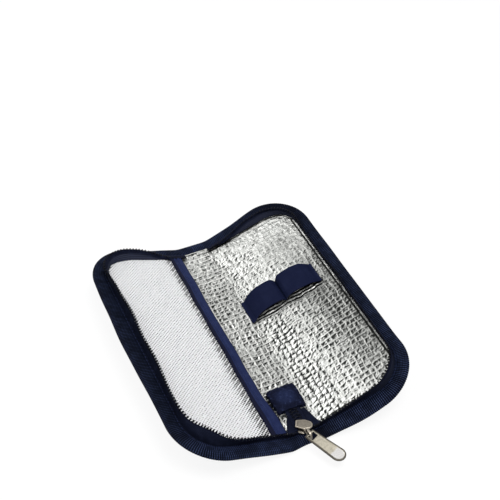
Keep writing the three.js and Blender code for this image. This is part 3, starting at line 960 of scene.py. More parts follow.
def painted_foil_reflection(u, v):
    """Painted reflection of the foil, as a tone from 0 to 1: facets that fall away are dark and facets that
    rise are bright, and pits are painted darker as shade. The tone drifts slowly over the leaf, and facets
    show less at its far end and side, and more at its near end and where it is puffed up. The strap's
    pleats go on top as stripes of painted shadow and reflection, and then the tab's painted shadow."""
    step = SLOPE_STEP
    slope_u = (foil_relief(u + step, v) - foil_relief(u - step, v)) / (2 * step)
    slope_v = (foil_relief(u, v + step) - foil_relief(u, v - step)) / (2 * step)
    pillow = puffed(u, v)
    inward = FAR_DULL_LEAST + (1 - FAR_DULL_LEAST) * rise(u, *FAR_DULL_SIDE)
    far = rise(v - FAR_DULL_PUFFED * pillow, *FAR_DULL) * inward
    drift = DRIFT * (grain(u, v, 30, 12) - 0.5) + TONE_CHANGE["near"] * fall(v, *NEAR_BRIGHT)
    drift += TONE_CHANGE["side"] * rise(u, *SIDE_DARK) * (1 - SIDE_DARK_LOSS * rise(v, *SIDE_DARK_FAR))
    facet = TONE_OF_HEIGHT * (foil_relief(u, v) - FLOOR_LEVEL)
    facet += TONE_OF_SLOPE[0] * slope_u + TONE_OF_SLOPE[1] * slope_v
    near = fall(v, *NEAR_CLEAR) * fall(u, *NEAR_CLEAR_END)
    side = rise(u, *SIDE_DULL)
    facet *= 1 + FACET_CHANGE["side"] * side + FACET_CHANGE["near"] * near + FACET_CHANGE["puffed"] * pillow
    patches = FACET_PATCHES[0] + FACET_PATCHES[1] * grain(u, v, 17, 13)
    facet *= (FACET_GAIN + FACET_CHANGE["far"] * far) * patches
    specks = SPECKS * far * (grain(u, v, 1.7, 16) * grain(u, v, 2.6, 17) - 0.1)
    tone = TONE_MIDDLE + drift + TONE_CHANGE["puffed"] * pillow + TONE_CHANGE["far"] * far + facet + specks
    # The strap's pleats paint stripes of shadow and reflection, and the tab paints a shadow
    share, pleat = strap_pleats(u, v)
    shadow = bell(u, *TAB_SHADOW) * fall(v, *TAB_SHADOW_START) * rise(v, *TAB_SHADOW_END)
    tone = np.clip(tone + share * (pleat - PLEAT_DARKER - tone), TONE_LEAST, 1)
    return tone + TONE_CHANGE["shadow"] * shadow


# Beside the foil's seam, a painted shadow line and a painted highlight; behind the pocket's mouth, a painted
# shade
EDGE_SHADOW = (1.6, 0.5)
EDGE_SHADOW_DEPTH = 0.8
EDGE_HIGHLIGHT = (0.6, 0.4)
EDGE_HIGHLIGHT_GAIN = 0.5
EDGE_HIGHLIGHT_START = (12, 8)
FAR_EDGE_IN = 2.4
FAR_EDGE_START = (50, 25)
FAR_EDGE_END = (62, 14)
MOUTH_SHADE = 0.5
MOUTH_SHADE_START = (10, 2)
MOUTH_SHADE_END = 17.5
MOUTH_FADE = (3, 6)
MOUTH_FADE_NEAR = (-5, 55)


def painted_foil_light(leaf, u, v):
    """Painted light of a leaf's foil with what borders it: a painted shadow line and a broken painted
    highlight beside the seam, which lie further in at the pen leaf's far end, and a strip of painted
    shade behind the mouth of the net pocket. Here u runs from the fold."""
    edge = np.minimum(half_length(u, FOIL_INSET) - np.abs(v), SEAM_WIDTH - FOIL_INSET - u)
    if leaf == "pen":
        edge = edge - FAR_EDGE_IN * rise(v, *FAR_EDGE_START) * fall(u, *FAR_EDGE_END)
    bright = EDGE_HIGHLIGHT_GAIN * bell(edge, *EDGE_HIGHLIGHT) * rise(u, *EDGE_HIGHLIGHT_START) * grain(u, v, 3.1, 18)
    dark = EDGE_SHADOW_DEPTH * bell(edge, *EDGE_SHADOW)
    tone = painted_foil_reflection(LEAVES[leaf] * (u + SPINE_HALF), v) - dark + bright
    if leaf == "pocket":
        fade = MOUTH_FADE[0] + MOUTH_FADE[1] * fall(v, *MOUTH_FADE_NEAR)
        tone = tone - MOUTH_SHADE * rise(u, *MOUTH_SHADE_START) * (1 - rise(u, MOUTH_SHADE_END, fade))
    return tone


def foil_half(leaf):
    """Foil lining of a half case: slow swells of the foam below it, and the thread relief on top. Under
    the net its grid is coarser."""
    side = LEAVES[leaf]
    u = np.linspace(-SPINE_HALF, SEAM_WIDTH - FOIL_INSET, FOIL_COLUMNS)
    if leaf == "pocket":
        under_net = np.linspace(u[FOIL_OPEN_COLUMNS], u[-1], FOIL_OPEN_COLUMNS + 1)
        u = np.concatenate([u[:FOIL_OPEN_COLUMNS], under_net])

    def face(u, v):
        swell = np.sin(u / 6.3 + v / 17) + np.sin(v / 9.1 - u / 21)
        return FOIL_BASE + FOIL_SWELL * swell + FOIL_RELIEF * foil_relief(side * (u + SPINE_HALF), v)

    points, faces, cloth = leaf_plate(side, u, FOIL_ROWS, FOIL_INSET, face, level(FOIL_LOW), FOIL_STRIDE)
    front = len(u) * FOIL_ROWS
    shade = np.zeros(len(points))
    # The foil's shade is its painted reflection, shadow and highlight
    shade[:front] = painted_foil_light(leaf, cloth[:front, 1], cloth[:front, 0])
    piece = make_piece(leaf + "_foil", points, faces, FOIL, cloth, shade, FOIL_CREASE)
    bend(piece, leaf, FOIL_ZONE, "foil_lining", leaf + "_lining", "spine_lining")
    flat, area = leaf_cloth(-SPINE_HALF, FOIL_INSET)


# Bound edge

RIB_DEPTH = 0.17
RIB_SAMPLES = 5
RIB_END = 7.6
LOWER_START = 0.05
UPPER_START = 0.3
LOWER_POINTS = 18
ROUND_POINTS = 9
UPPER_POINTS = 22
TAPE_PUFF = 0.4
STITCH_LINE = 1.3
STITCH_DENT = 0.3
STITCH_DENT_REACH = 0.55
RUN_LINE = 0.6
EDGE_WAVE = 0.28
LIFT_POWER = 1.5
FAR_CORNER = SEAM_LENGTH - STRAIGHT - 3.0
FAR_CORNER_REACH = 26
FAR_CORNER_LIFT = {"pocket": 0.2, "pen": 4.4}
# Painted shade on the bound edge, as bells along the seam: a painted shadow of the pull beside the slider,
# and painted shade at the pen leaf's far corner
PAINTED_SHADE = {
    "pocket": ((11, 8, 0.35),),
    "pen": ((11, 8, 0.8), (FAR_CORNER - 12, 26, 0.75)),
}
# The pocket leaf's bound edge is darker along its long side
SIDE_DARKENED = {"pocket": 0.4, "pen": 0.0}
SIDE_DARKENED_START = (STRAIGHT + 8, 24)
SIDE_DARKENED_END = (SEAM_LENGTH - STRAIGHT - 20, 30)
SPREADS = {
    "pocket": ((22, 26, 1.6), (80, 14, 1.3), (175, 68, 3.6)),
    "pen": ((42, 24, 3.2), (78, 16, 0.8)),
}
SPREAD_START = 14


def binding_profile():
    """The tape's section: a lower leg, a half-round edge and an upper leg on the outside, then the
    same line drawn in by the tape's thickness on the way back. Gives n, w and a mask of the outside."""
    half = BINDING_HIGH / 2
    round_n = FLANGE - half
    inside_top = BINDING_HIGH - BINDING
    turn = np.linspace(-np.pi / 2, np.pi / 2, ROUND_POINTS)[1:-1]
    lower_n = np.linspace(LOWER_START, round_n, LOWER_POINTS)
    upper_n = np.linspace(round_n, UPPER_START, UPPER_POINTS)
    outer_n = np.concatenate([lower_n, round_n + half * np.cos(turn), upper_n])
    outer_w = np.concatenate([0 * lower_n, half + half * np.sin(turn), np.full(UPPER_POINTS, BINDING_HIGH)])
    inner_n = np.array([UPPER_START, round_n, FLANGE - BINDING, round_n, LOWER_START])
    inner_w = np.array([inside_top, inside_top, half, BINDING, BINDING])
    outside = np.concatenate([np.ones(len(outer_n)), np.zeros(len(inner_n))])
    return np.concatenate([outer_n, inner_n]), np.concatenate([outer_w, inner_w]), outside


def edge_lift(leaf, s):
    """Height of the bound edge's rim above level: the slow waves of a sewn edge, and a broad hump
    where the far corner curls up."""
    return EDGE_WAVE * slack(s) + FAR_CORNER_LIFT[leaf] * bell(s, FAR_CORNER, FAR_CORNER_REACH)


def spread(leaf, s):
    """How far the bound edge stretches outwards: a sum of bells along the seam."""
    return bells(s, SPREADS[leaf]) * rise(s, 0, SPREAD_START)


def tape_run(s):
    """Length along the middle of the bound tape: the seam's own length, and more round a corner."""
    turned = np.clip(s - STRAIGHT, 0, ARC) + np.clip(s - STRAIGHT - ARC - SIDE, 0, ARC)
    return s + turned / SEAM_RADIUS * RUN_LINE * FLANGE


def binding_half(leaf):
    """Bound edge of a half case: the folded tape's section carried along the seam line, puffed between
    its seam and its edge, with herringbone ribs and slow waves that grow towards the edge. Its shade is
    painted shadow beside the slider and painted shade at the pen leaf's far corner, a plain darkening
    along the pocket leaf's long side, and -1 on the leg outside the case."""
    n, w, outside = binding_profile()
    s = np.linspace(0, SEAM_LENGTH, int(SEAM_LENGTH / RIB_PITCH * RIB_SAMPLES) + 1)[:, None]
    upper = (w > BINDING_HIGH - 0.1) * outside
    leg = np.clip(n / FLANGE, 0, 1)
    zigzag = np.abs((n + HERRINGBONE) % (2 * HERRINGBONE) - HERRINGBONE) * (n < RIB_END)
    rib = 0.5 * np.cos(2 * np.pi * (tape_run(s) + RIB_SLANT * zigzag) / RIB_PITCH)
    puff = TAPE_PUFF * np.sin(np.pi * leg) - STITCH_DENT * bell(n, STITCH_LINE, STITCH_DENT_REACH)
    raised = w + upper * puff + edge_lift(leaf, s) * leg ** LIFT_POWER
    normal_n, normal_w = line_normal(n, w)
    depth = RIB_DEPTH * rib * outside
    flared = n + spread(leaf, s) * leg
    points = carry(LEAVES[leaf], s, flared - depth * normal_n, raised - depth * normal_w)
    cloth = np.stack(np.broadcast_arrays(tape_run(s), run_length(n, w)), -1)
    # Painted shadow and shade, the side's darkening, and -1 on the outside leg
    side_on = rise(s, *SIDE_DARKENED_START) * fall(s, *SIDE_DARKENED_END)
    binding_shade = bells(s, PAINTED_SHADE[leaf]) + SIDE_DARKENED[leaf] * side_on
    binding_shade = np.where((outside > 0) & (w < 0.3 * BINDING_HIGH), -1.0, binding_shade)
    faces = tube_faces(len(s), len(n))
    piece = make_piece(leaf + "_edge_binding", points, faces, BINDING_CLOTH, cloth, binding_shade)
    bend(piece, leaf, COVER_ZONE, "binding_tape",
         leaf + "_binding", "spine_binding_near", "spine_binding_far")
    outer_length = SEAM_LENGTH + np.pi * FLANGE
    outer_length * MM


STITCH_PITCH = 3.2
STITCH_LENGTH = 2.3
STITCH_THREAD = 0.2
STITCH_SINK = 0.02
STITCH_START = 4.0
STITCH_RINGS = 5
STITCH_ARCH = 0.16


def stitch_shape(arch):
    """One stitch: shares from -1 to 1 along it, and how far its rings' points lie to the side and up. The
    rings follow an arch, and their thread thins out towards its ends."""
    t = np.linspace(-1, 1, STITCH_RINGS)[:, None]
    turn = ring_angles(TUBE_SIDES)
    radius = STITCH_THREAD * np.sqrt(1.1 - t ** 2)
    return t, radius * np.cos(turn), radius * np.sin(turn) + arch * (1 - t ** 2)


def binding_stitches(leaf):
    """A row of stitches on the bound edge, along the stitch line."""
    count = int((SEAM_LENGTH - 2 * STITCH_START) / STITCH_PITCH)
    t, off_n, off_w = stitch_shape(STITCH_ARCH)
    middle = STITCH_START + STITCH_PITCH * (np.arange(count) + 0.5)
    s = middle[:, None, None] + t * STITCH_LENGTH / 2
    n = STITCH_LINE * (1 + spread(leaf, s) / FLANGE)
    w = BINDING_HIGH - STITCH_SINK + edge_lift(leaf, s) * (STITCH_LINE / FLANGE) ** LIFT_POWER
    points = carry(LEAVES[leaf], s, n + off_n, w + off_w)
    faces = tube_faces(STITCH_RINGS, TUBE_SIDES, count)
    piece = make_piece(leaf + "_binding_stitches", points, faces, THREAD)
    bend(piece, leaf, COVER_ZONE, "binding_tape")


# Zip

ZIP_NEAR = 4.4
ZIP_FAR = SEAM_LENGTH - 9.5
DIP_START = 7.0
DIP_RUN = 33.0
NEAR_HEIGHT = 5.5
NEAR_LIFT = 0.4
NEAR_LIFT_END = (4, 10)
FAR_HEIGHT = 6.3
FAR_TUCK = 1.2
FAR_TUCK_END = (3, 9)
FAR_FLOP = {"pocket": 5.6, "pen": 3.6}
FAR_FLOP_END = (38, 30)
FAR_TILT = 1.2
SLIDER_DRAW = 1.8
SLIDER_DRAW_END = (6, 14)
LEAN_OUT = {"pocket": 0.7, "pen": -0.2}
LEANS = {
    "pocket": ((STRAIGHT - 8, 15, 2.6), (NEAR_BEND, 19, -4.6), (STRAIGHT + ARC + 14, 18, 1.4),
               (FAR_BEND, 38, 3.4)),
    "pen": ((42, 20, 1.5), (NEAR_BEND, 19, -0.8), (FAR_BEND, 38, 0.6)),
}
WALL_IN = 0.35
TOP_WAVE = 0.22
TOP_WAVE_SHIFT = 11
LEAN_WAVE = 0.3
LEAN_WAVE_SHIFT = 29


def far_stretch(s):
    """A smooth step along the seam: 0 up to the far corner and 1 after it."""
    return rise(s, SEAM_LENGTH - STRAIGHT - ARC - 10, 20)


def zip_edge(leaf, s):
    """The top edge of the zip tape, as (n, w) along the seam: level round the leaf, falling by a smooth
    step towards the spine, drawn to the slider at the near end and flopped inwards at the far one."""
    u = from_spine(s)
    near = s < SEAM_LENGTH / 2
    near_low = NEAR_HEIGHT + NEAR_LIFT * fall(u, *NEAR_LIFT_END)
    far_low = FAR_HEIGHT - FAR_TUCK * fall(u, *FAR_TUCK_END)
    low = np.where(near, near_low, far_low)
    climb = rise(u, DIP_START, DIP_RUN)
    height = low + (WALL_TOP - low) * climb + TOP_WAVE * slack(s + TOP_WAVE_SHIFT) * climb
    side_on = rise(s, STRAIGHT, ARC) * fall(s, SEAM_LENGTH - STRAIGHT, ARC)
    lean = LEAN_WAVE * slack(s + LEAN_WAVE_SHIFT) * climb - WALL_IN
    lean = lean + LEAN_OUT[leaf] * side_on + bells(s, LEANS[leaf])
    drawn = SLIDER_DRAW * fall(u, *SLIDER_DRAW_END)
    flopped = -FAR_FLOP[leaf] * fall(u, *FAR_FLOP_END)
    return lean + np.where(near, drawn, flopped), height


WALL_STATIONS = 291
HEM = 7.0
HEM_POINTS = 5
WALL_BEND = 1.3
BEND_POINTS = 6
WALL_POINTS = 12
WALL_LEAN_POWER = 2.2
WALL_CLIMB_POWER = 1.5
FOOT_ROLL = {"pocket": 4.8, "pen": 3.4}
FOOT_ROLL_START = (SEAM_LENGTH - STRAIGHT - 0.75 * ARC, 26)
FOOT_ROLL_END = (ZIP_FAR - 6, 12)
FOOT_ROLL_LOW = (3.6, 1.0)
FOOT_ROLL_HIGH = (9.5, 4.5)
# Painted light that greys the zip wall: along the far stretch, and at the pen leaf's near corner
FAR_PAINTED_LIGHT = {"pocket": 1.0, "pen": 0.7}
CORNER_PAINTED_LIGHT = {"pocket": 0.0, "pen": 0.6}
CORNER_PAINTED_LIGHT_SPAN = (STRAIGHT + 0.6 * ARC, 24)
WALL_BAND = 2.2
WALL_BAND_EDGE = 0.7


def zip_wall(leaf):
    """Zip tape of a half case: it lies flat in the bound edge, turns up in a quarter round and stands
    to the zip's top edge. Its section is that line, thickened to both sides, carried along the seam, and
    its inner face is rolled in at the foot of the far end. Its shade is a painted light in grey below its
    top band, along the far stretch and at the pen leaf's near corner."""
    s = np.linspace(ZIP_NEAR, ZIP_FAR, WALL_STATIONS)[:, None]
    lean, height = zip_edge(leaf, s)
    foot = np.minimum(TAPE_LEVEL + WALL_BEND, height - TAPE)
    turn = np.linspace(0, np.pi / 2, BEND_POINTS)[1:]
    up = np.linspace(0, 1, WALL_POINTS)[1:]
    hem_n = np.linspace(HEM, WALL_BEND - WALL_IN, HEM_POINTS)
    bend_n = WALL_BEND - WALL_IN - WALL_BEND * np.sin(turn)
    bend_w = TAPE_LEVEL + (foot - TAPE_LEVEL) * (1 - np.cos(turn))
    wall_n = -WALL_IN + (lean + WALL_IN) * up ** WALL_LEAN_POWER
    wall_w = foot + (height - foot) * (1 - (1 - up) ** WALL_CLIMB_POWER)
    low_n = np.tile(np.concatenate([hem_n, bend_n]), (len(s), 1))
    line_n = np.concatenate([low_n, wall_n], 1)
    line_w = np.concatenate([np.full((len(s), HEM_POINTS), TAPE_LEVEL), bend_w, wall_w], 1)
    n, w = thicken(line_n, line_w, TAPE)
    roll = FOOT_ROLL[leaf] * rise(s, *FOOT_ROLL_START) * fall(s, *FOOT_ROLL_END)
    n[:, :line_n.shape[1]] -= roll * rise(line_w, *FOOT_ROLL_LOW) * fall(line_w, *FOOT_ROLL_HIGH)
    points = carry(LEAVES[leaf], s, n, w)
    cloth = np.stack(np.broadcast_arrays(s, there_and_back(run_length(line_n, line_w))), -1)
    below = 1 - rise(there_and_back(line_w), height - WALL_BAND, WALL_BAND_EDGE)
    # Painted light below the wall's top band
    painted_light = FAR_PAINTED_LIGHT[leaf] * far_stretch(s) + CORNER_PAINTED_LIGHT[leaf] * bell(s, *CORNER_PAINTED_LIGHT_SPAN)
    faces = tube_faces(len(s), n.shape[1])
    piece = make_piece(leaf + "_zip_wall", points, faces, ZIP_CLOTH, cloth, painted_light * below)
    bend(piece, leaf, ZIP_ZONE, "zip_tape", leaf + "_zip_tape")
    (ZIP_FAR - ZIP_NEAR) * MM


COIL_NEAR = ZIP_NEAR + 1.6
COIL_STATIONS = 600
COIL_STEPS = 14
COIL_PITCH = 2.4
COIL_CROWD = 1.2
COIL_IN = -0.2
COIL_LIFT = 0.55
COIL_ACROSS = 0.6
COIL_UP = 1.1
COIL_THREAD = 0.42
COIL_NEAR_SHARE = 0.35
COIL_FAR_LOSS = 0.4
COIL_LIFT_LOSS = 0.9


def zip_coil(leaf):
    """Half of the zip's coil: a thread wound round a line along the zip tape's top edge. Its tall loops
    stand in line with the tape, lie down where the far end flops, and are low beside the slider."""
    s = np.linspace(COIL_NEAR, ZIP_FAR, COIL_STATIONS)
    lean, height = zip_edge(leaf, s)
    side = LEAVES[leaf]
    u = from_spine(s)
    near = s < SEAM_LENGTH / 2
    tilt = np.where(near, 0, FAR_TILT * fall(u, *FAR_FLOP_END))
    far = far_stretch(s)
    near_share = COIL_NEAR_SHARE + (1 - COIL_NEAR_SHARE) * rise(u, DIP_START, DIP_RUN)
    tall = COIL_UP * np.where(near, near_share, 1 - COIL_FAR_LOSS * far)
    lift = COIL_LIFT * (1 - COIL_LIFT_LOSS * far)
    up_n, up_w = -np.sin(tilt), np.cos(tilt)
    n = lean + COIL_IN + lift * up_n
    w = height + lift * up_w
    centre = carry(side, s, n, w)
    across = carry(side, s, n + COIL_ACROSS * up_w, w - COIL_ACROSS * up_n) - centre
    up = carry(side, s, n + tall * up_n, w + tall * up_w) - centre
    turns = (ZIP_FAR - COIL_NEAR) / COIL_PITCH
    points, rings = helix(centre, across, up, turns, COIL_THREAD, COIL_STEPS, COIL_CROWD)
    piece = make_piece(leaf + "_coil", points, tube_faces(rings, TUBE_SIDES), COIL)
    bend(piece, leaf, ZIP_ZONE, "zip_coil", leaf + "_zip_coil")


# Net pocket and the ribbon on its mouth

RIBBON_LOW = 3.0
RIBBON_HIGH = 12.8
NET_ACROSS = 1.25
NET_ALONG = 1.15
NET_HALF_WIDTH = 0.5
NET_HALF_HEIGHT = 0.19
NET_LIFT = 0.16
NET_INSET = 0.8
NET_START = 10.0
NET_HEIGHT = 5.05
NET_SWELL = 0.35
NET_SWELL_RUN = 55
SPARSE_START = RIBBON_HIGH + 1.5
SPARSE_RAGGED = 1.5
SPARSE_RUN = (2.5, 5)
SPARSE_NEAR = (-5, 55)
SPARSE_LOSS = {"one way": 0.85, "other way": 0.75, "every second": 0.15}


def net_faces(inside):
    """Quads along each yarn where two neighbouring rings lie inside, and caps where its run ends."""
    index = np.arange(inside.size * TUBE_SIDES).reshape(*inside.shape, TUBE_SIDES)
    both = inside[..., :-1] & inside[..., 1:]
    quads = ring_quads(index[..., :-1, :][both], index[..., 1:, :][both])
    none = np.zeros((*inside.shape[:-1], 1), bool)
    joined_before = np.concatenate([none, both], -1)
    joined_after = np.concatenate([both, none], -1)
    starts = index[joined_after & ~joined_before]
    ends = index[joined_before & ~joined_after]
    return [quads, starts[:, ::-1], ends]


def net_pocket():
    """A knitted diamond net: two sets of slanting yarns on a staggered grid, each a flat tube that rises
    over one crossing and dips under the next, kept where it lies inside the leaf's outline. Next to the
    ribbon most yarns thin out."""
    steps = np.arange(0, 2 * int((SEAM_WIDTH - NET_START) / NET_ACROSS) + 1) / 2
    rows = SEAM_HALF / NET_ALONG
    lines = np.arange(-int(rows / 2) - 1, int((rows + steps[-1]) / 2) + 1)
    lean, line, step = np.meshgrid([1, -1], lines, steps, indexing="ij")
    u = NET_START + NET_ACROSS * step
    v = lean * NET_ALONG * (step - 2 * line)
    u = u + 0.1 * np.sin(v / 3.7 + u / 5)
    v = v + 0.12 * np.sin(u / 2.9 + v / 7)
    inside = (np.abs(v) < half_length(u, NET_INSET)) & (u < SEAM_WIDTH - NET_INSET)
    swell = np.sin(np.pi * np.clip((u - NET_START) / NET_SWELL_RUN, 0, 1)) * (1 + 0.5 * np.sin(v / 19))
    pucker = 0.12 * np.sin(v / 4.3 + u / 9) + 0.1 * np.sin(u / 5.1 - v / 13)
    middle = NET_HEIGHT + NET_SWELL * swell + pucker + lean * NET_LIFT * np.cos(np.pi * step)
    sparse_run = SPARSE_RUN[0] + SPARSE_RUN[1] * fall(v, *SPARSE_NEAR)
    sparse = 1 - rise(u, SPARSE_START + SPARSE_RAGGED * np.sin(v / 2.3) ** 2, sparse_run)
    loss = np.where(line % 2 == 0, SPARSE_LOSS["every second"], SPARSE_LOSS["other way"])
    loss = np.where(lean > 0, SPARSE_LOSS["one way"], loss)
    thick = (1 - loss * sparse) * (1 + 0.12 * np.sin(u * 1.7 + v * 2.3))
    size = np.hypot(NET_ACROSS, NET_ALONG)
    turn = ring_angles(TUBE_SIDES)
    off = NET_HALF_WIDTH * thick[..., None] * np.cos(turn)
    ring_u = u[..., None] + off * NET_ALONG / size
    ring_v = v[..., None] - off * lean[..., None] * NET_ACROSS / size
    ring_w = middle[..., None] + NET_HALF_HEIGHT * np.sin(turn)
    points = place(LEAVES["pocket"], ring_u, ring_v, ring_w).reshape(-1, 3)
    faces = net_faces(inside)
    used, where = np.unique(np.concatenate([group.ravel() for group in faces]), return_inverse=True)
    ends = np.cumsum([group.size for group in faces])[:-1]
    faces = [part.reshape(-1, group.shape[1]) for part, group in zip(np.split(where, ends), faces)]
    piece = make_piece("net_pocket_mesh", points[used], faces, NET, crease=180)
    fasten(piece, "pocket_leaf", "net", "net_pocket")
    flat, area = leaf_cloth(NET_START, NET_INSET)


RIBBON_CLOTH = 0.4
RIBBON_GAP = 0.5
RIBBON_NEAR_END = SEAM_HALF - 1.2
RIBBON_FAR_END = SEAM_HALF - 5.0
RIBBON_STATIONS = 240
RIBBON_LEG_POINTS = 18
RIBBON_TURN_POINTS = 7
RIBBON_WIDEN = 2.8
RIBBON_WIDEN_END = (-48, 35)
RIBBON_SEAT = 0.3
RIBBON_SWELL = 0.28
RIBBON_PRESS = 0.25
RIBBON_PRESS_REACH = 0.35
RIBBON_HEM = (RIBBON_HIGH - 2.6, 0.6)
RIBBON_FOLD_DARK = (RIBBON_LOW + 1.4, 0.8)
RIBBON_WAVES = {"u": ((0.25, 13, 0), (0.15, 5.3, 1)), "w": ((0.18, 11, 2), (0.1, 4.1, 0))}


def mouth_ribbon():
    """Ribbon folded over the net's edge: its section is a U lying on its side, carried along the fold,
    with a pressed line along its middle and slow waves along its length. It widens at its near end."""
    v = np.linspace(-RIBBON_NEAR_END, RIBBON_FAR_END, RIBBON_STATIONS)[:, None]
    width = RIBBON_HIGH - RIBBON_LOW
    half = RIBBON_CLOTH + RIBBON_GAP / 2
    turn_u = RIBBON_LOW + half
    turn = np.linspace(-np.pi / 2, -3 * np.pi / 2, RIBBON_TURN_POINTS)[1:-1]
    leg = np.linspace(RIBBON_HIGH, turn_u, RIBBON_LEG_POINTS)
    flat = np.full(RIBBON_LEG_POINTS, half)
    inner_u = [RIBBON_HIGH, turn_u, RIBBON_LOW + RIBBON_CLOTH, turn_u, RIBBON_HIGH]
    inner_w = np.array([1, 1, 0, -1, -1]) * RIBBON_GAP / 2
    u = np.concatenate([leg, turn_u + half * np.cos(turn), leg[::-1], inner_u])
    w = np.concatenate([-flat, half * np.sin(turn), flat, inner_w])
    swell = RIBBON_SWELL * np.abs(np.sin(2 * np.pi * (u - RIBBON_LOW) / width))
    pressed = RIBBON_PRESS * bell(u, (RIBBON_LOW + RIBBON_HIGH) / 2, RIBBON_PRESS_REACH)
    w = w + (w > half - 0.01) * (swell - pressed)
    widen = RIBBON_WIDEN * fall(v, *RIBBON_WIDEN_END) * (RIBBON_HIGH - u) / width
    ring_u = u + ripples(v, *RIBBON_WAVES["u"]) - widen
    ring_w = SEAT + half + RIBBON_SEAT + w + ripples(v, *RIBBON_WAVES["w"])
    points = place(LEAVES["pocket"], ring_u, v, ring_w)
    cloth = np.stack(np.broadcast_arrays(v, run_length(u, w)), -1)
    border = np.maximum(rise(u, *RIBBON_HEM), fall(u, *RIBBON_FOLD_DARK))
    shade = np.broadcast_to(border, points.shape[:2])
    piece = make_piece("pocket_mouth_ribbon", points, tube_faces(len(v), len(u)), RIBBON, cloth, shade)
    bend(piece, "pocket", ZIP_ZONE, "satin_ribbon", "pocket_mouth_trim")
    (RIBBON_NEAR_END + RIBBON_FAR_END) * MM


# Pen strap

STRAP_CLOTH = 0.8
STRAP_RISE = 6.6
STRAP_TILT = 0.27
STRAP_FOOT_FLARE = 2.6
STRAP_FOOT_END = (9, 12)
STRAP_DRAWN_IN = 0.025
STRAP_HOLLOW = 0.35
STRAP_RIPPLE = 0.12
STRAP_POINTS = 200
STRAP_EVENING = 11
STRAP_STATIONS = np.array([
    (-3.0, 0), (0.2, 0.2), (4.0, 2.6), (9, 5.0), (14.5, 6.2), (20.5, 6.3), (25.2, 5.6), (27.4, 3.2),
    (28.2, 0.4), (29.0, 3.2), (31.2, 5.8), (36, 6.6), (42.5, 6.4), (48.5, 5.3), (52.5, 3.0), (55.2, 0.5),
    (57.8, 0)])
STRAP_STITCHES = 8
STRAP_STITCH_ARCH = 0.14
STRAP_STITCH_REACH = 0.36
STRAP_STITCH_IN = 1.0


def strap_line():
    """The strap's middle line over the leaf, as (u, w): straight runs between stations on two arches
    and their feet, evened out by a running mean along the line."""
    u, w = STRAP_STATIONS.T
    run = run_length(u, w)
    at = np.linspace(0, run[-1], STRAP_POINTS)
    window = np.hanning(STRAP_EVENING)[1:-1]
    window /= window.sum()
    lines = [np.pad(np.interp(at, run, track), len(window) // 2, "edge") for track in (u, w)]
    even_u, even_w = (np.convolve(line, window, "valid") for line in lines)
    return even_u, SEAT + STRAP_CLOTH / 2 + even_w


def pen_strap():
    """Elastic strap: a flat strip's section carried along the strap's line, with a slight hollow between
    its edges and sides that draw in where it is sewn down. It leans, and its first foot flares."""
    u, w = (track[:, None] for track in strap_line())
    normal_u, normal_w = (track[:, None] for track in line_normal(u[:, 0], w[:, 0]))
    across, thick = strip_section(STRAP_WIDTH, STRAP_CLOTH, 17, 7)
    share = across / (STRAP_WIDTH / 2 - STRAP_CLOTH / 2)
    above = w - w.min()
    lift = np.clip(above / STRAP_RISE, 0, 1)
    ripple = STRAP_RIPPLE * lift * np.sin(across / 2.1 + u / 3)
    off = thick + STRAP_HOLLOW * lift * (share ** 2 - 0.6) + ripple
    ring_u = u + off * normal_u
    ring_w = w + off * normal_w + STRAP_TILT * share * above
    flare = STRAP_FOOT_FLARE * fall(u, *STRAP_FOOT_END) * np.clip(share, -1, 0)
    ring_v = STRAP_CENTRE + across * (1 - STRAP_DRAWN_IN * (1 - lift)) + flare
    points = place(LEAVES["pen"], ring_u, ring_v, ring_w)
    along = run_length(u[:, 0], w[:, 0])
    cloth = np.stack(np.broadcast_arrays(along[:, None], across), -1)
    piece = make_piece("pen_loops", points, tube_faces(len(u), len(across)), ELASTIC, cloth)
    bend(piece, "pen", ZIP_ZONE, "elastic", "pen_strap")


def strap_stitches():
    """A row of stitches across each of the strap's feet."""
    feet = np.array([STRAP_STATIONS[0, 0] + STRAP_STITCH_IN, STRAP_STATIONS[-1, 0] - STRAP_STITCH_IN])
    pitch = STRAP_WIDTH / STRAP_STITCHES
    middles = STRAP_CENTRE - STRAP_WIDTH / 2 + pitch * (np.arange(STRAP_STITCHES) + 0.5)
    foot, middle = (grid.reshape(-1, 1, 1) for grid in np.meshgrid(feet, middles))
    t, off_u, off_w = stitch_shape(STRAP_STITCH_ARCH)
    w = SEAT + STRAP_CLOTH + STITCH_SINK + off_w
    points = place(LEAVES["pen"], foot + off_u, middle + t * pitch * STRAP_STITCH_REACH, w)
    faces = tube_faces(STITCH_RINGS, TUBE_SIDES, len(foot))
    piece = make_piece("pen_loop_stitches", points, faces, THREAD)
    bend(piece, "pen", ZIP_ZONE, "elastic")


# Zip tail on the spine

SLIDER_Y = node_box("slider_body")[1][1] - 5.5
TAIL_NEAR = SLIDER_Y + 2.6
TAIL_FAR = node_box("zip_tail")[1][1]
TAIL_HALF = 5.5
TAIL_LEVEL = 6.1
TAIL_STATIONS = 60
TAIL_RIB_SHIFT = 20
TAB_OVERLAP = 1.2
TAB_NEAR = node_box("zip_tail_tab")[0][1] - TAB_OVERLAP
TAB_FAR = node_box("zip_tail_tab")[1][1] + TAB_OVERLAP
CHAIN_STATIONS = 120
CHAIN_OUT = 1.35
CHAIN_ACROSS = 1.45
CHAIN_UP = 0.42
CHAIN_LIFT = 0.55
CHAIN_THREAD = 0.33
CHAIN_TUCK = 0.6


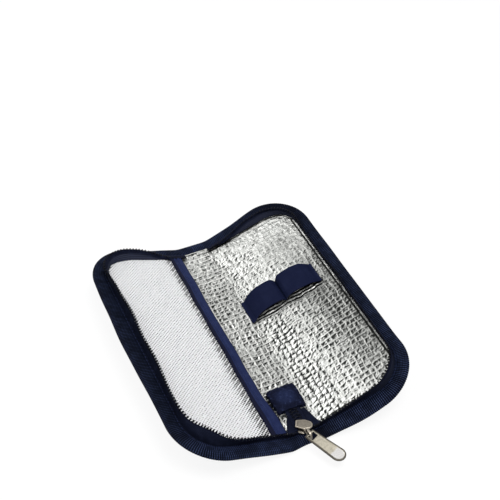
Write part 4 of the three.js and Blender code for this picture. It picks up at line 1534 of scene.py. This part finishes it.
def tail_tape():
    """Tape of the closed zip end: a level strip with rounded edges that ripples a little on its way
    from the slider to its tab."""
    y = np.linspace(TAIL_NEAR, TAIL_FAR, TAIL_STATIONS)[:, None]
    x, z = strip_section(2 * TAIL_HALF, TAPE, 13, 5)
    share = x / TAIL_HALF
    ripple = 0.15 * np.sin(y / 3.1) * share ** 2 + 0.1 * np.sin(y / 2.3 + 1) * share
    points = np.stack(np.broadcast_arrays(x, y, TAIL_LEVEL + z + ripple), -1)
    cloth = np.stack(np.broadcast_arrays(y, x + TAIL_RIB_SHIFT), -1)
    piece = make_piece("tail_tape", points, tube_faces(len(y), len(x)), ZIP_CLOTH, cloth)
    fasten(piece, "spine", "zip_tape", "zip_tail")
    (TAIL_FAR - TAIL_NEAR) * MM


def tail_chain():
    """The closed chain on the tail: two coils wound side by side as mirror images."""
    y = np.linspace(TAIL_NEAR, TAB_NEAR + CHAIN_TUCK, CHAIN_STATIONS)
    none = np.zeros_like(y)
    turns = (y[-1] - y[0]) / COIL_PITCH
    coils = []
    for side in LEAVES.values():
        centre = np.stack([none + CHAIN_OUT * side, y, none + TAIL_LEVEL + TAPE / 2 + CHAIN_LIFT], -1)
        across = np.stack([none + CHAIN_ACROSS * side, none, none], -1)
        up = np.stack([none, none, none + CHAIN_UP], -1)
        points, rings = helix(centre, across, up, turns, CHAIN_THREAD)
        coils.append(points)
    piece = make_piece("tail_chain", np.concatenate(coils), tube_faces(rings, TUBE_SIDES, len(coils)), COIL)
    fasten(piece, "spine", "zip_coil", "zip_tail")


TAB_REACH = {"pocket": 10.0, "pen": 11.0}
TAB_LOW = 5.1
TAB_HIGH = 7.15
TAB_CLOTH = 0.7
TAB_FOLD = 2.0
TAB_PUFF = 1.5
TAB_DROOP = 0.9
TAB_COLUMNS = 25
TAB_LEG_POINTS = 26
TAB_TURN_POINTS = 9


def tail_tab(leaf):
    """Half of the ribbon folded over the tail's end: its side view is a U with its fold at the far end,
    carried outwards from the spine's middle. Its upper leaf is puffed and crumpled, with uneven edges,
    and its shade, a painted light, is 1 on top of the puff."""
    gap = (TAB_HIGH - TAB_LOW) / 2
    leg = np.linspace(TAB_NEAR, TAB_FAR - gap - TAB_CLOTH / 2, TAB_LEG_POINTS)
    turn = np.linspace(-np.pi / 2, np.pi / 2, TAB_TURN_POINTS)[1:-1]
    flat = np.full(TAB_LEG_POINTS, gap)
    line_y = np.concatenate([leg, leg[-1] + gap * np.cos(turn), leg[::-1]])
    line_z = np.concatenate([-flat, gap * np.sin(turn), flat])
    y, z = thicken(line_y, line_z, -TAB_CLOTH)
    share = np.linspace(0, 1, TAB_COLUMNS)[:, None]
    x = share * (TAB_REACH[leaf] + 0.45 * np.sin(y * 2.1) + 0.3 * np.sin(y * 5.3))
    across = LEAVES[leaf] * x
    reach = np.clip((y - TAB_NEAR) / (TAB_FAR - TAB_NEAR), 0, 1)
    upper = smooth((z + gap) / (2 * gap))
    puff = TAB_PUFF * (1 - share ** 2) * np.sin(np.pi * (0.12 + 0.8 * reach))
    crumple = 0.3 * np.sin(across * 1.1 + y * 0.7) + 0.22 * np.sin(across * 2.3 - y * 1.3 + 1)
    height = (TAB_HIGH + TAB_LOW) / 2 + z + upper * (puff + crumple - TAB_DROOP * share ** 4)
    points = place(LEAVES[leaf], x - SPINE_HALF, y + 0.6 * share ** 2 * np.sin(4 * share), height)
    cloth = np.stack(np.broadcast_arrays(run_length(y, z), across), -1)
    # Painted light on top of the puff
    shade = upper * (1 - share ** 2) * np.sin(np.pi * reach)
    faces = tube_faces(len(share), len(y))
    piece = make_piece(leaf + "_tail_tab", points, faces, TAB, cloth, shade)
    bend(piece, leaf, ZIP_ZONE, "satin_ribbon", "zip_tail_tab")
    flat_size = (TAB_REACH[leaf] * MM, (2 * (TAB_FAR - TAB_NEAR) + TAB_FOLD) * MM)


# Corners of the tail's skirts, from the spine's middle line and the near seam: both ends of the inner
# edge, then both ends of the outer one
SKIRTS = {
    "pen": np.array([(3.2, 16.5), (4.2, 0.1), (8.6, 16.0), (13.8, -0.1)]),
    "pocket": np.array([(2.6, 16.5), (3.6, 0.1), (4.8, 15.0), (12.6, -0.1)]),
}
SKIRT_CLOTH = 0.3
SKIRT_DROP = 0.75
SKIRT_COLUMNS = 25
SKIRT_ROWS = 17


def tail_skirt(leaf):
    """The zip tape where it runs into the tail: a flat cloth between two straight edges that falls
    from the tail to the foil and ripples a little."""
    a = np.linspace(0, 1, SKIRT_COLUMNS)[:, None]
    b = np.linspace(0, 1, SKIRT_ROWS)
    corners = SKIRTS[leaf] - (0, SEAM_HALF)
    inner = corners[0] + (corners[1] - corners[0]) * a
    outer = corners[2] + (corners[3] - corners[2]) * a
    x, y = (inner[:, k:k + 1] + (outer[:, k:k + 1] - inner[:, k:k + 1]) * b for k in range(2))
    ripple = 0.08 * np.sin(b * 9 + a * 3) * (1 - b) + 0.8 * a ** 6 * b
    top = TAIL_LEVEL + 0.1 - SKIRT_DROP * smooth(b * 1.2) + ripple
    faces = [place(LEAVES[leaf], x - SPINE_HALF, y, top - off).reshape(-1, 3) for off in (0, SKIRT_CLOTH)]
    cloth = np.tile(np.stack([y, x], -1).reshape(-1, 2), (2, 1))
    plate = plate_faces(SKIRT_COLUMNS, SKIRT_ROWS, 1)
    piece = make_piece(leaf + "_tail_skirt", np.concatenate(faces), plate, ZIP_CLOTH, cloth)
    bend(piece, leaf, FOIL_ZONE, "zip_tape")
    width = np.hypot(*(corners[2:] - corners[:2]).T).mean()


# Slider and pull

CAP_LOW = 7.85
CAP_HIGH = 8.95
CAP_RAIL = 0.1
CAP_TURN = np.radians(-31)
CAP_CENTRE = np.array([0.8, 0.4])
CAP_CORNERS = np.array([(5.7, -0.9), (5.7, 0.9), (4.4, 2.6), (0.2, 3.8), (-5.5, 2.7),
                        (-5.5, -2.7), (0.2, -3.8), (4.4, -2.6)])
CAP_FIELD = 0.8
CAP_ROUND = 0.5
FIELD_ROUND = 0.4
PLATE_LOW = node_box("slider_body")[0][2]
PLATE_HIGH = PLATE_LOW + 0.8
PLATE_CORNERS = ((-4.6, 5.2), (-4.6, -1.5), (-1.6, -4.3), (1.6, -4.3), (4.6, -1.5), (4.6, 5.2))
PLATE_ROUND = 0.9
POST_CORNERS = ((-1.0, -1.6), (-1.0, -3.8), (1.0, -3.8), (1.0, -1.6))
POST_ROUND = 0.5
NOSE_HALF = 1.1
NOSE_FAR = -1.5
NOSE_ROUND = 0.5
CROWN_LOW, CROWN_HIGH = node_box("slider_crown")
CROWN_NEAR = CROWN_LOW[1] - SLIDER_Y
CROWN_FAR = CROWN_HIGH[1] - SLIDER_Y
CROWN_TOP = CROWN_HIGH[2]
CROWN_FOOT = 8.75
CROWN_BAR = 0.55
CROWN_HALF = 0.9
CROWN_STATIONS = 41
CROWN_SIDES = 14
CROWN_SQUARE = 0.6


def join_rings(groups):
    """Points, faces and tones of several ring-built solids as one mesh; each group is its rings, as an
    array (rings, points, 3), and one tone for each ring."""
    points, faces, shade, first = [], [], [], 0
    for rings, tones in groups:
        count, sides = rings.shape[:2]
        points.append(rings.reshape(-1, 3))
        shade.append(np.repeat(tones, sides))
        faces += [part + first for part in tube_faces(count, sides)]
        first += count * sides
    return np.concatenate(points), faces, np.concatenate(shade)


def slider_body():
    """Slider: a cap with eight corners that sits askew on the zip, with a rim round a sunk field, a nose
    under the crown, a plate under the tape, and the post between them. Each is an outline stepped
    through insets and heights."""
    turn = np.array([[np.cos(CAP_TURN), np.sin(CAP_TURN)], [-np.sin(CAP_TURN), np.cos(CAP_TURN)]])
    cap = CAP_CENTRE + rounded(CAP_CORNERS, CAP_ROUND) @ turn
    field = CAP_CENTRE + rounded(CAP_FIELD * CAP_CORNERS, FIELD_ROUND) @ turn
    nose = rounded([(-NOSE_HALF, NOSE_FAR), (-NOSE_HALF, CROWN_NEAR), (NOSE_HALF, CROWN_NEAR),
                    (NOSE_HALF, NOSE_FAR)], NOSE_ROUND)
    plate = rounded(PLATE_CORNERS, PLATE_ROUND)
    post = rounded(POST_CORNERS, POST_ROUND)
    skirt = CAP_LOW - CAP_RAIL
    cap_levels = [(0.5, CAP_LOW), (0, skirt), (-0.1, skirt + 0.15), (-0.1, CAP_HIGH - 0.4),
                  (0.08, CAP_HIGH - 0.12), (0.3, CAP_HIGH)]
    field_levels = [(0, CAP_HIGH), (0.15, CAP_HIGH - 0.16), (0.6, CAP_HIGH - 0.1)]
    nose_levels = [(0.2, CAP_LOW), (0, CAP_LOW + 0.2), (0, CAP_HIGH - 0.4), (0.2, CAP_HIGH - 0.2)]
    plate_levels = [(0.3, PLATE_LOW), (0, PLATE_LOW + 0.2), (0, PLATE_HIGH - 0.2), (0.3, PLATE_HIGH)]
    post_levels = [(0, PLATE_LOW + 0.3), (0, CAP_HIGH - 0.3)]
    cap_rings = np.concatenate([outline_rings(cap, cap_levels), outline_rings(field, field_levels)])
    # Tones below 1 are painted shade: darkest low down and on the plate and post, and darker in the sunk
    # field
    points, faces, shade = join_rings([
        (cap_rings, [0.3, 0.3, 0.6, 0.9, 1, 1, 0.95, 0.5, 0.72]),
        (outline_rings(nose, nose_levels), [0.3, 0.5, 0.9, 1]),
        (outline_rings(plate, plate_levels), [0.5, 0.5, 0.5, 0.5]),
        (outline_rings(post, post_levels), [0.4, 0.6]),
    ])
    points[:, 1] += SLIDER_Y
    piece = make_piece("slider_cap", points, faces, NICKEL, shade=shade, crease=35)
    fasten(piece, "slider", "nickel", "slider_body")


def slider_crown():
    """Crown: a squarish bar carried over an arch, whose height is a low power of a cosine between its two
    feet. Its shade is a painted shade, darkest at its feet and lifting towards its top."""
    t = np.linspace(-1, 1, CROWN_STATIONS) * np.pi / 2
    half = (CROWN_FAR - CROWN_NEAR) / 2 - CROWN_BAR
    y = (CROWN_NEAR + CROWN_FAR) / 2 + half * np.sin(t)
    z = CROWN_FOOT + (CROWN_TOP - CROWN_BAR - CROWN_FOOT) * np.cos(t) ** 0.45
    normal_y, normal_z = (track[:, None] for track in line_normal(y, z))
    turn = ring_angles(CROWN_SIDES)
    wide, tall = (np.sign(part) * np.abs(part) ** CROWN_SQUARE for part in (np.cos(turn), np.sin(turn)))
    ring_y = y[:, None] + CROWN_BAR * tall * normal_y + SLIDER_Y
    ring_z = z[:, None] + CROWN_BAR * tall * normal_z
    points = np.stack(np.broadcast_arrays(CROWN_HALF * wide, ring_y, ring_z), -1)
    shade = np.clip((ring_z - CROWN_FOOT) / (CROWN_TOP - CROWN_FOOT) + 0.3, 0.3, 1)
    piece = make_piece("slider_arch", points, tube_faces(len(t), CROWN_SIDES), NICKEL, shade=shade)
    fasten(piece, "slider", "nickel", "slider_crown")


PULL_LENGTH = 29.0
PULL_NECK = 4.0
PULL_END = 5.0
PULL_BRIGHT = 9.4
PULL_BAR = 1.6
PULL_THICK = 1.2
PULL_SUNK = 0.22
PULL_BORDER = 1.25
PULL_FIELD_RINGS = 15
EYE_HALF = 2.7
EYE_LENGTH = 4.0
PULL_TILT = np.radians(2)
PULL_YAW = np.arctan2(-PULL_AXIS[1], -PULL_AXIS[0])
EYE_MIDDLE = -PULL_BAR / 2 - EYE_LENGTH / 2
PULL_TOP = PULL_BAR / 2 - EYE_MIDDLE
PULL_CENTRE = PULL_TOP - PULL_LENGTH + PULL_END
PULL_FLARE = (PULL_END - PULL_NECK) / (PULL_TOP - PULL_CENTRE)
TINY = 1e-9


def pull_rim():
    """Points of the pull tab's outline seen from the eye's middle: its top edge, a side that widens
    evenly, its half-round end and the other side."""
    top = np.linspace(-PULL_NECK, PULL_NECK, 13)[1:-1]
    down = np.linspace(PULL_TOP, PULL_CENTRE, 40)
    side = PULL_NECK + PULL_FLARE * (PULL_TOP - down)
    turn = np.linspace(0, -np.pi, 33)[1:-1]
    return np.concatenate([
        np.stack([top, np.full(len(top), PULL_TOP)], -1),
        np.stack([side, down], -1),
        np.stack([PULL_END * np.cos(turn), PULL_CENTRE + PULL_END * np.sin(turn)], -1),
        np.stack([-side[::-1], down[::-1]], -1),
    ])


def pull_reach(ray, inset):
    """Distance from the eye's middle to the outline, drawn in by an inset, along each ray: the nearer of
    its slanted side and its top edge, or its round end where the ray leaves past the end's centre."""
    x, y = ray.T
    middle = PULL_NECK + PULL_FLARE * PULL_TOP - inset
    side = middle / np.maximum(np.abs(x) + PULL_FLARE * y, TINY)
    edge = np.where(y > 0, (PULL_TOP - inset) / np.maximum(y, TINY), np.inf)
    reach = np.minimum(side, edge)
    dot = y * PULL_CENTRE
    round_end = dot + np.sqrt(np.maximum(dot ** 2 - PULL_CENTRE ** 2 + (PULL_END - inset) ** 2, 0))
    return np.where(reach * y < PULL_CENTRE, round_end, reach)


def eye_reach(ray, grow):
    """Distance from the eye's middle to its rectangle, grown all round, along each ray."""
    x, y = np.maximum(np.abs(ray.T), TINY)
    return np.minimum((EYE_HALF + grow) / x, (EYE_LENGTH / 2 + grow) / y)


def pull_levels(ray):
    """Rings of the pull tab, each with its reach along the rays, its height and its tone: out from the
    eye over a sunk field inside a raised border, round the edge and back underneath. Tones below 1 are
    painted shade in the eye, on the border, round the edge and underneath."""
    def eye(grow):
        return eye_reach(ray, grow)

    def rim(inset):
        return pull_reach(ray, inset)

    half = PULL_THICK / 2
    inner, outer = np.minimum(eye(0.75), rim(PULL_BORDER)), rim(PULL_BORDER)
    field = [inner + (outer - inner) * share for share in np.linspace(0, 1, PULL_FIELD_RINGS)]
    return [
        (eye(0), -half + 0.2, 0.4),
        (eye(0), half - 0.2, 0.5),
        (eye(0.12), half - 0.05, 0.9),
        (np.minimum(eye(0.2), rim(0.4)), half, 1),
        (np.minimum(eye(0.5), rim(1.05)), half, 1),
        *[(reach, half - PULL_SUNK, 0.95) for reach in field],
        (rim(1.05), half - 0.05, 0.3),
        (rim(0.85), half, 0.2),
        (rim(0.4), half - 0.02, 0.1),
        (rim(0.1), half - 0.14, 0.05),
        (rim(0), half - 0.4, 0.0),
        (rim(0), -half + 0.3, 0.1),
        (rim(0.25), -half, 0.4),
        (np.minimum(eye(0.25), rim(0.3)), -half, 0.9),
    ]


def pull_tab():
    """Pull tab with a rectangular eye: its levels as rings round the eye's middle, tilted and turned about
    the pivot. Its end is polished bright."""
    rim = pull_rim()
    ray = rim / np.linalg.norm(rim, axis=1, keepdims=True)
    levels = pull_levels(ray)
    reach, height, tone = (np.array([np.broadcast_to(part, len(ray)) for part in parts])
                           for parts in zip(*levels))
    x, y = reach * ray[:, 0], reach * ray[:, 1] + EYE_MIDDLE
    bright = fall(y, PULL_BAR / 2 - PULL_LENGTH + PULL_BRIGHT, 1.5)
    tilted_y = y * np.cos(PULL_TILT) - height * np.sin(PULL_TILT)
    tilted_z = y * np.sin(PULL_TILT) + height * np.cos(PULL_TILT)
    turned_x = x * np.cos(PULL_YAW) - tilted_y * np.sin(PULL_YAW)
    turned_y = x * np.sin(PULL_YAW) + tilted_y * np.cos(PULL_YAW)
    points = PULL_PIVOT + np.stack([turned_x, turned_y, tilted_z], -1)
    shade = tone + (tone > 0.9) * bright
    faces = tube_faces(len(levels), len(ray), closed=True)
    piece = make_piece("zip_pull", points, faces, PULL_NICKEL, shade=shade, crease=35)
    fasten(piece, "pull", "nickel", "pull_tab")


# Stage, in metres

CAMERA_PLACE = (-0.1988, -0.4471, 0.5422)
CAMERA_AZIMUTH = np.radians(-24.42)
CAMERA_ELEVATION = np.radians(43.05)
CAMERA_LENS = 73.5
CAMERA_SENSOR = 36
CAMERA_CLIP = (0.01, 20)
FLOOR_REACH = 6.0
FLOOR_DROP = 0.0004
FLOOR_WHITE = 0.88
ROOM_LEVEL = 0.55
LAMP_SIZE = 0.6
LAMPS = {"key_light": ((0.12, -0.3, 1.05), 8), "back_light": ((-0.5, 0.55, 0.75), 4)}


def look(thing, ahead):
    """Turns a camera or a lamp so that it looks along a direction, and adds it to the scene."""
    thing.rotation_mode = "QUATERNION"
    thing.rotation_quaternion = ahead.to_track_quat("-Z", "Y")
    bpy.context.scene.collection.objects.link(thing)


def camera():
    """The camera that was fitted to the photographed outline."""
    data = bpy.data.cameras.new("camera")
    data.lens = CAMERA_LENS
    data.sensor_width = CAMERA_SENSOR
    data.clip_start, data.clip_end = CAMERA_CLIP
    view = bpy.data.objects.new("camera", data)
    view.location = CAMERA_PLACE
    level_reach = np.cos(CAMERA_ELEVATION)
    look(view, Vector((-np.sin(CAMERA_AZIMUTH) * level_reach, np.cos(CAMERA_AZIMUTH) * level_reach,
                       -np.sin(CAMERA_ELEVATION))))
    bpy.context.scene.camera = view


def studio_floor():
    """A wide level floor of plain pale paper that shows white, and keeps the shadow."""
    finish = Finish("floor_paper", Roughness=0.95)
    paper = finish.mix(finish.noise(finish.spot(), 40), colour(250, 250, 250), colour(253, 253, 253))
    finish.set("Base Color", paper)
    glow = finish.add("ShaderNodeEmission", None, {"Strength": 1.0})
    lit = Value(finish, finish.shader.outputs[0])
    blend = finish.add("ShaderNodeMixShader", None, {0: finish.seen() * FLOOR_WHITE, 1: lit, 2: glow})
    finish.link(finish.tree.nodes["Material Output"].inputs["Surface"], blend)
    corners = np.array([(-1, -1), (1, -1), (1, 1), (-1, 1)]) * FLOOR_REACH
    points = np.column_stack([corners, np.full(4, -FLOOR_DROP)]) / MM
    make_piece("studio_floor", points, [np.array([[0, 1, 2, 3]])], finish.material)


def lamp(name, spot, power):
    """A round soft lamp that points at the middle of the case."""
    data = bpy.data.lights.new(name, "AREA")
    data.shape = "DISK"
    data.size = LAMP_SIZE
    data.energy = power
    box = bpy.data.objects.new(name, data)
    box.location = spot
    look(box, -Vector(spot))


def white_room():
    """A white world: full white to the camera and in reflections, and a lower level as a light."""
    world = bpy.data.worlds.new("white_room")
    bpy.context.scene.world = world
    world.use_nodes = True
    nodes = Nodes(world.node_tree)
    background = world.node_tree.nodes["Background"]
    nodes.link(background.inputs["Color"], (1, 1, 1, 1))
    nodes.link(background.inputs["Strength"], nodes.seen() * (1 - ROOM_LEVEL) + ROOM_LEVEL)


# Assembly

bpy.context.scene.view_settings.view_transform = "Standard"
white_room()
for lamp_name, (lamp_spot, lamp_power) in LAMPS.items():
    lamp(lamp_name, lamp_spot, lamp_power)
studio_floor()
camera()
for leaf_name, leaf_side in LEAVES.items():
    cover_half(leaf_name)
    binding_half(leaf_name)
    binding_stitches(leaf_name)
    zip_wall(leaf_name)
    zip_coil(leaf_name)
    foam_pad(leaf_name, leaf_side, FOAM_START, SEAM_WIDTH - FOAM_INSET, leaf_name + "_leaf")
foam_pad("spine", 1, -SPINE_HALF - SPINE_FOAM_HALF, -SPINE_HALF + SPINE_FOAM_HALF, "spine")
foil_half("pen")
foil_half("pocket")
net_pocket()
mouth_ribbon()
pen_strap()
strap_stitches()
tail_tape()
tail_chain()
for leaf_name in LEAVES:
    tail_tab(leaf_name)
    tail_skirt(leaf_name)
slider_body()
slider_crown()
pull_tab()
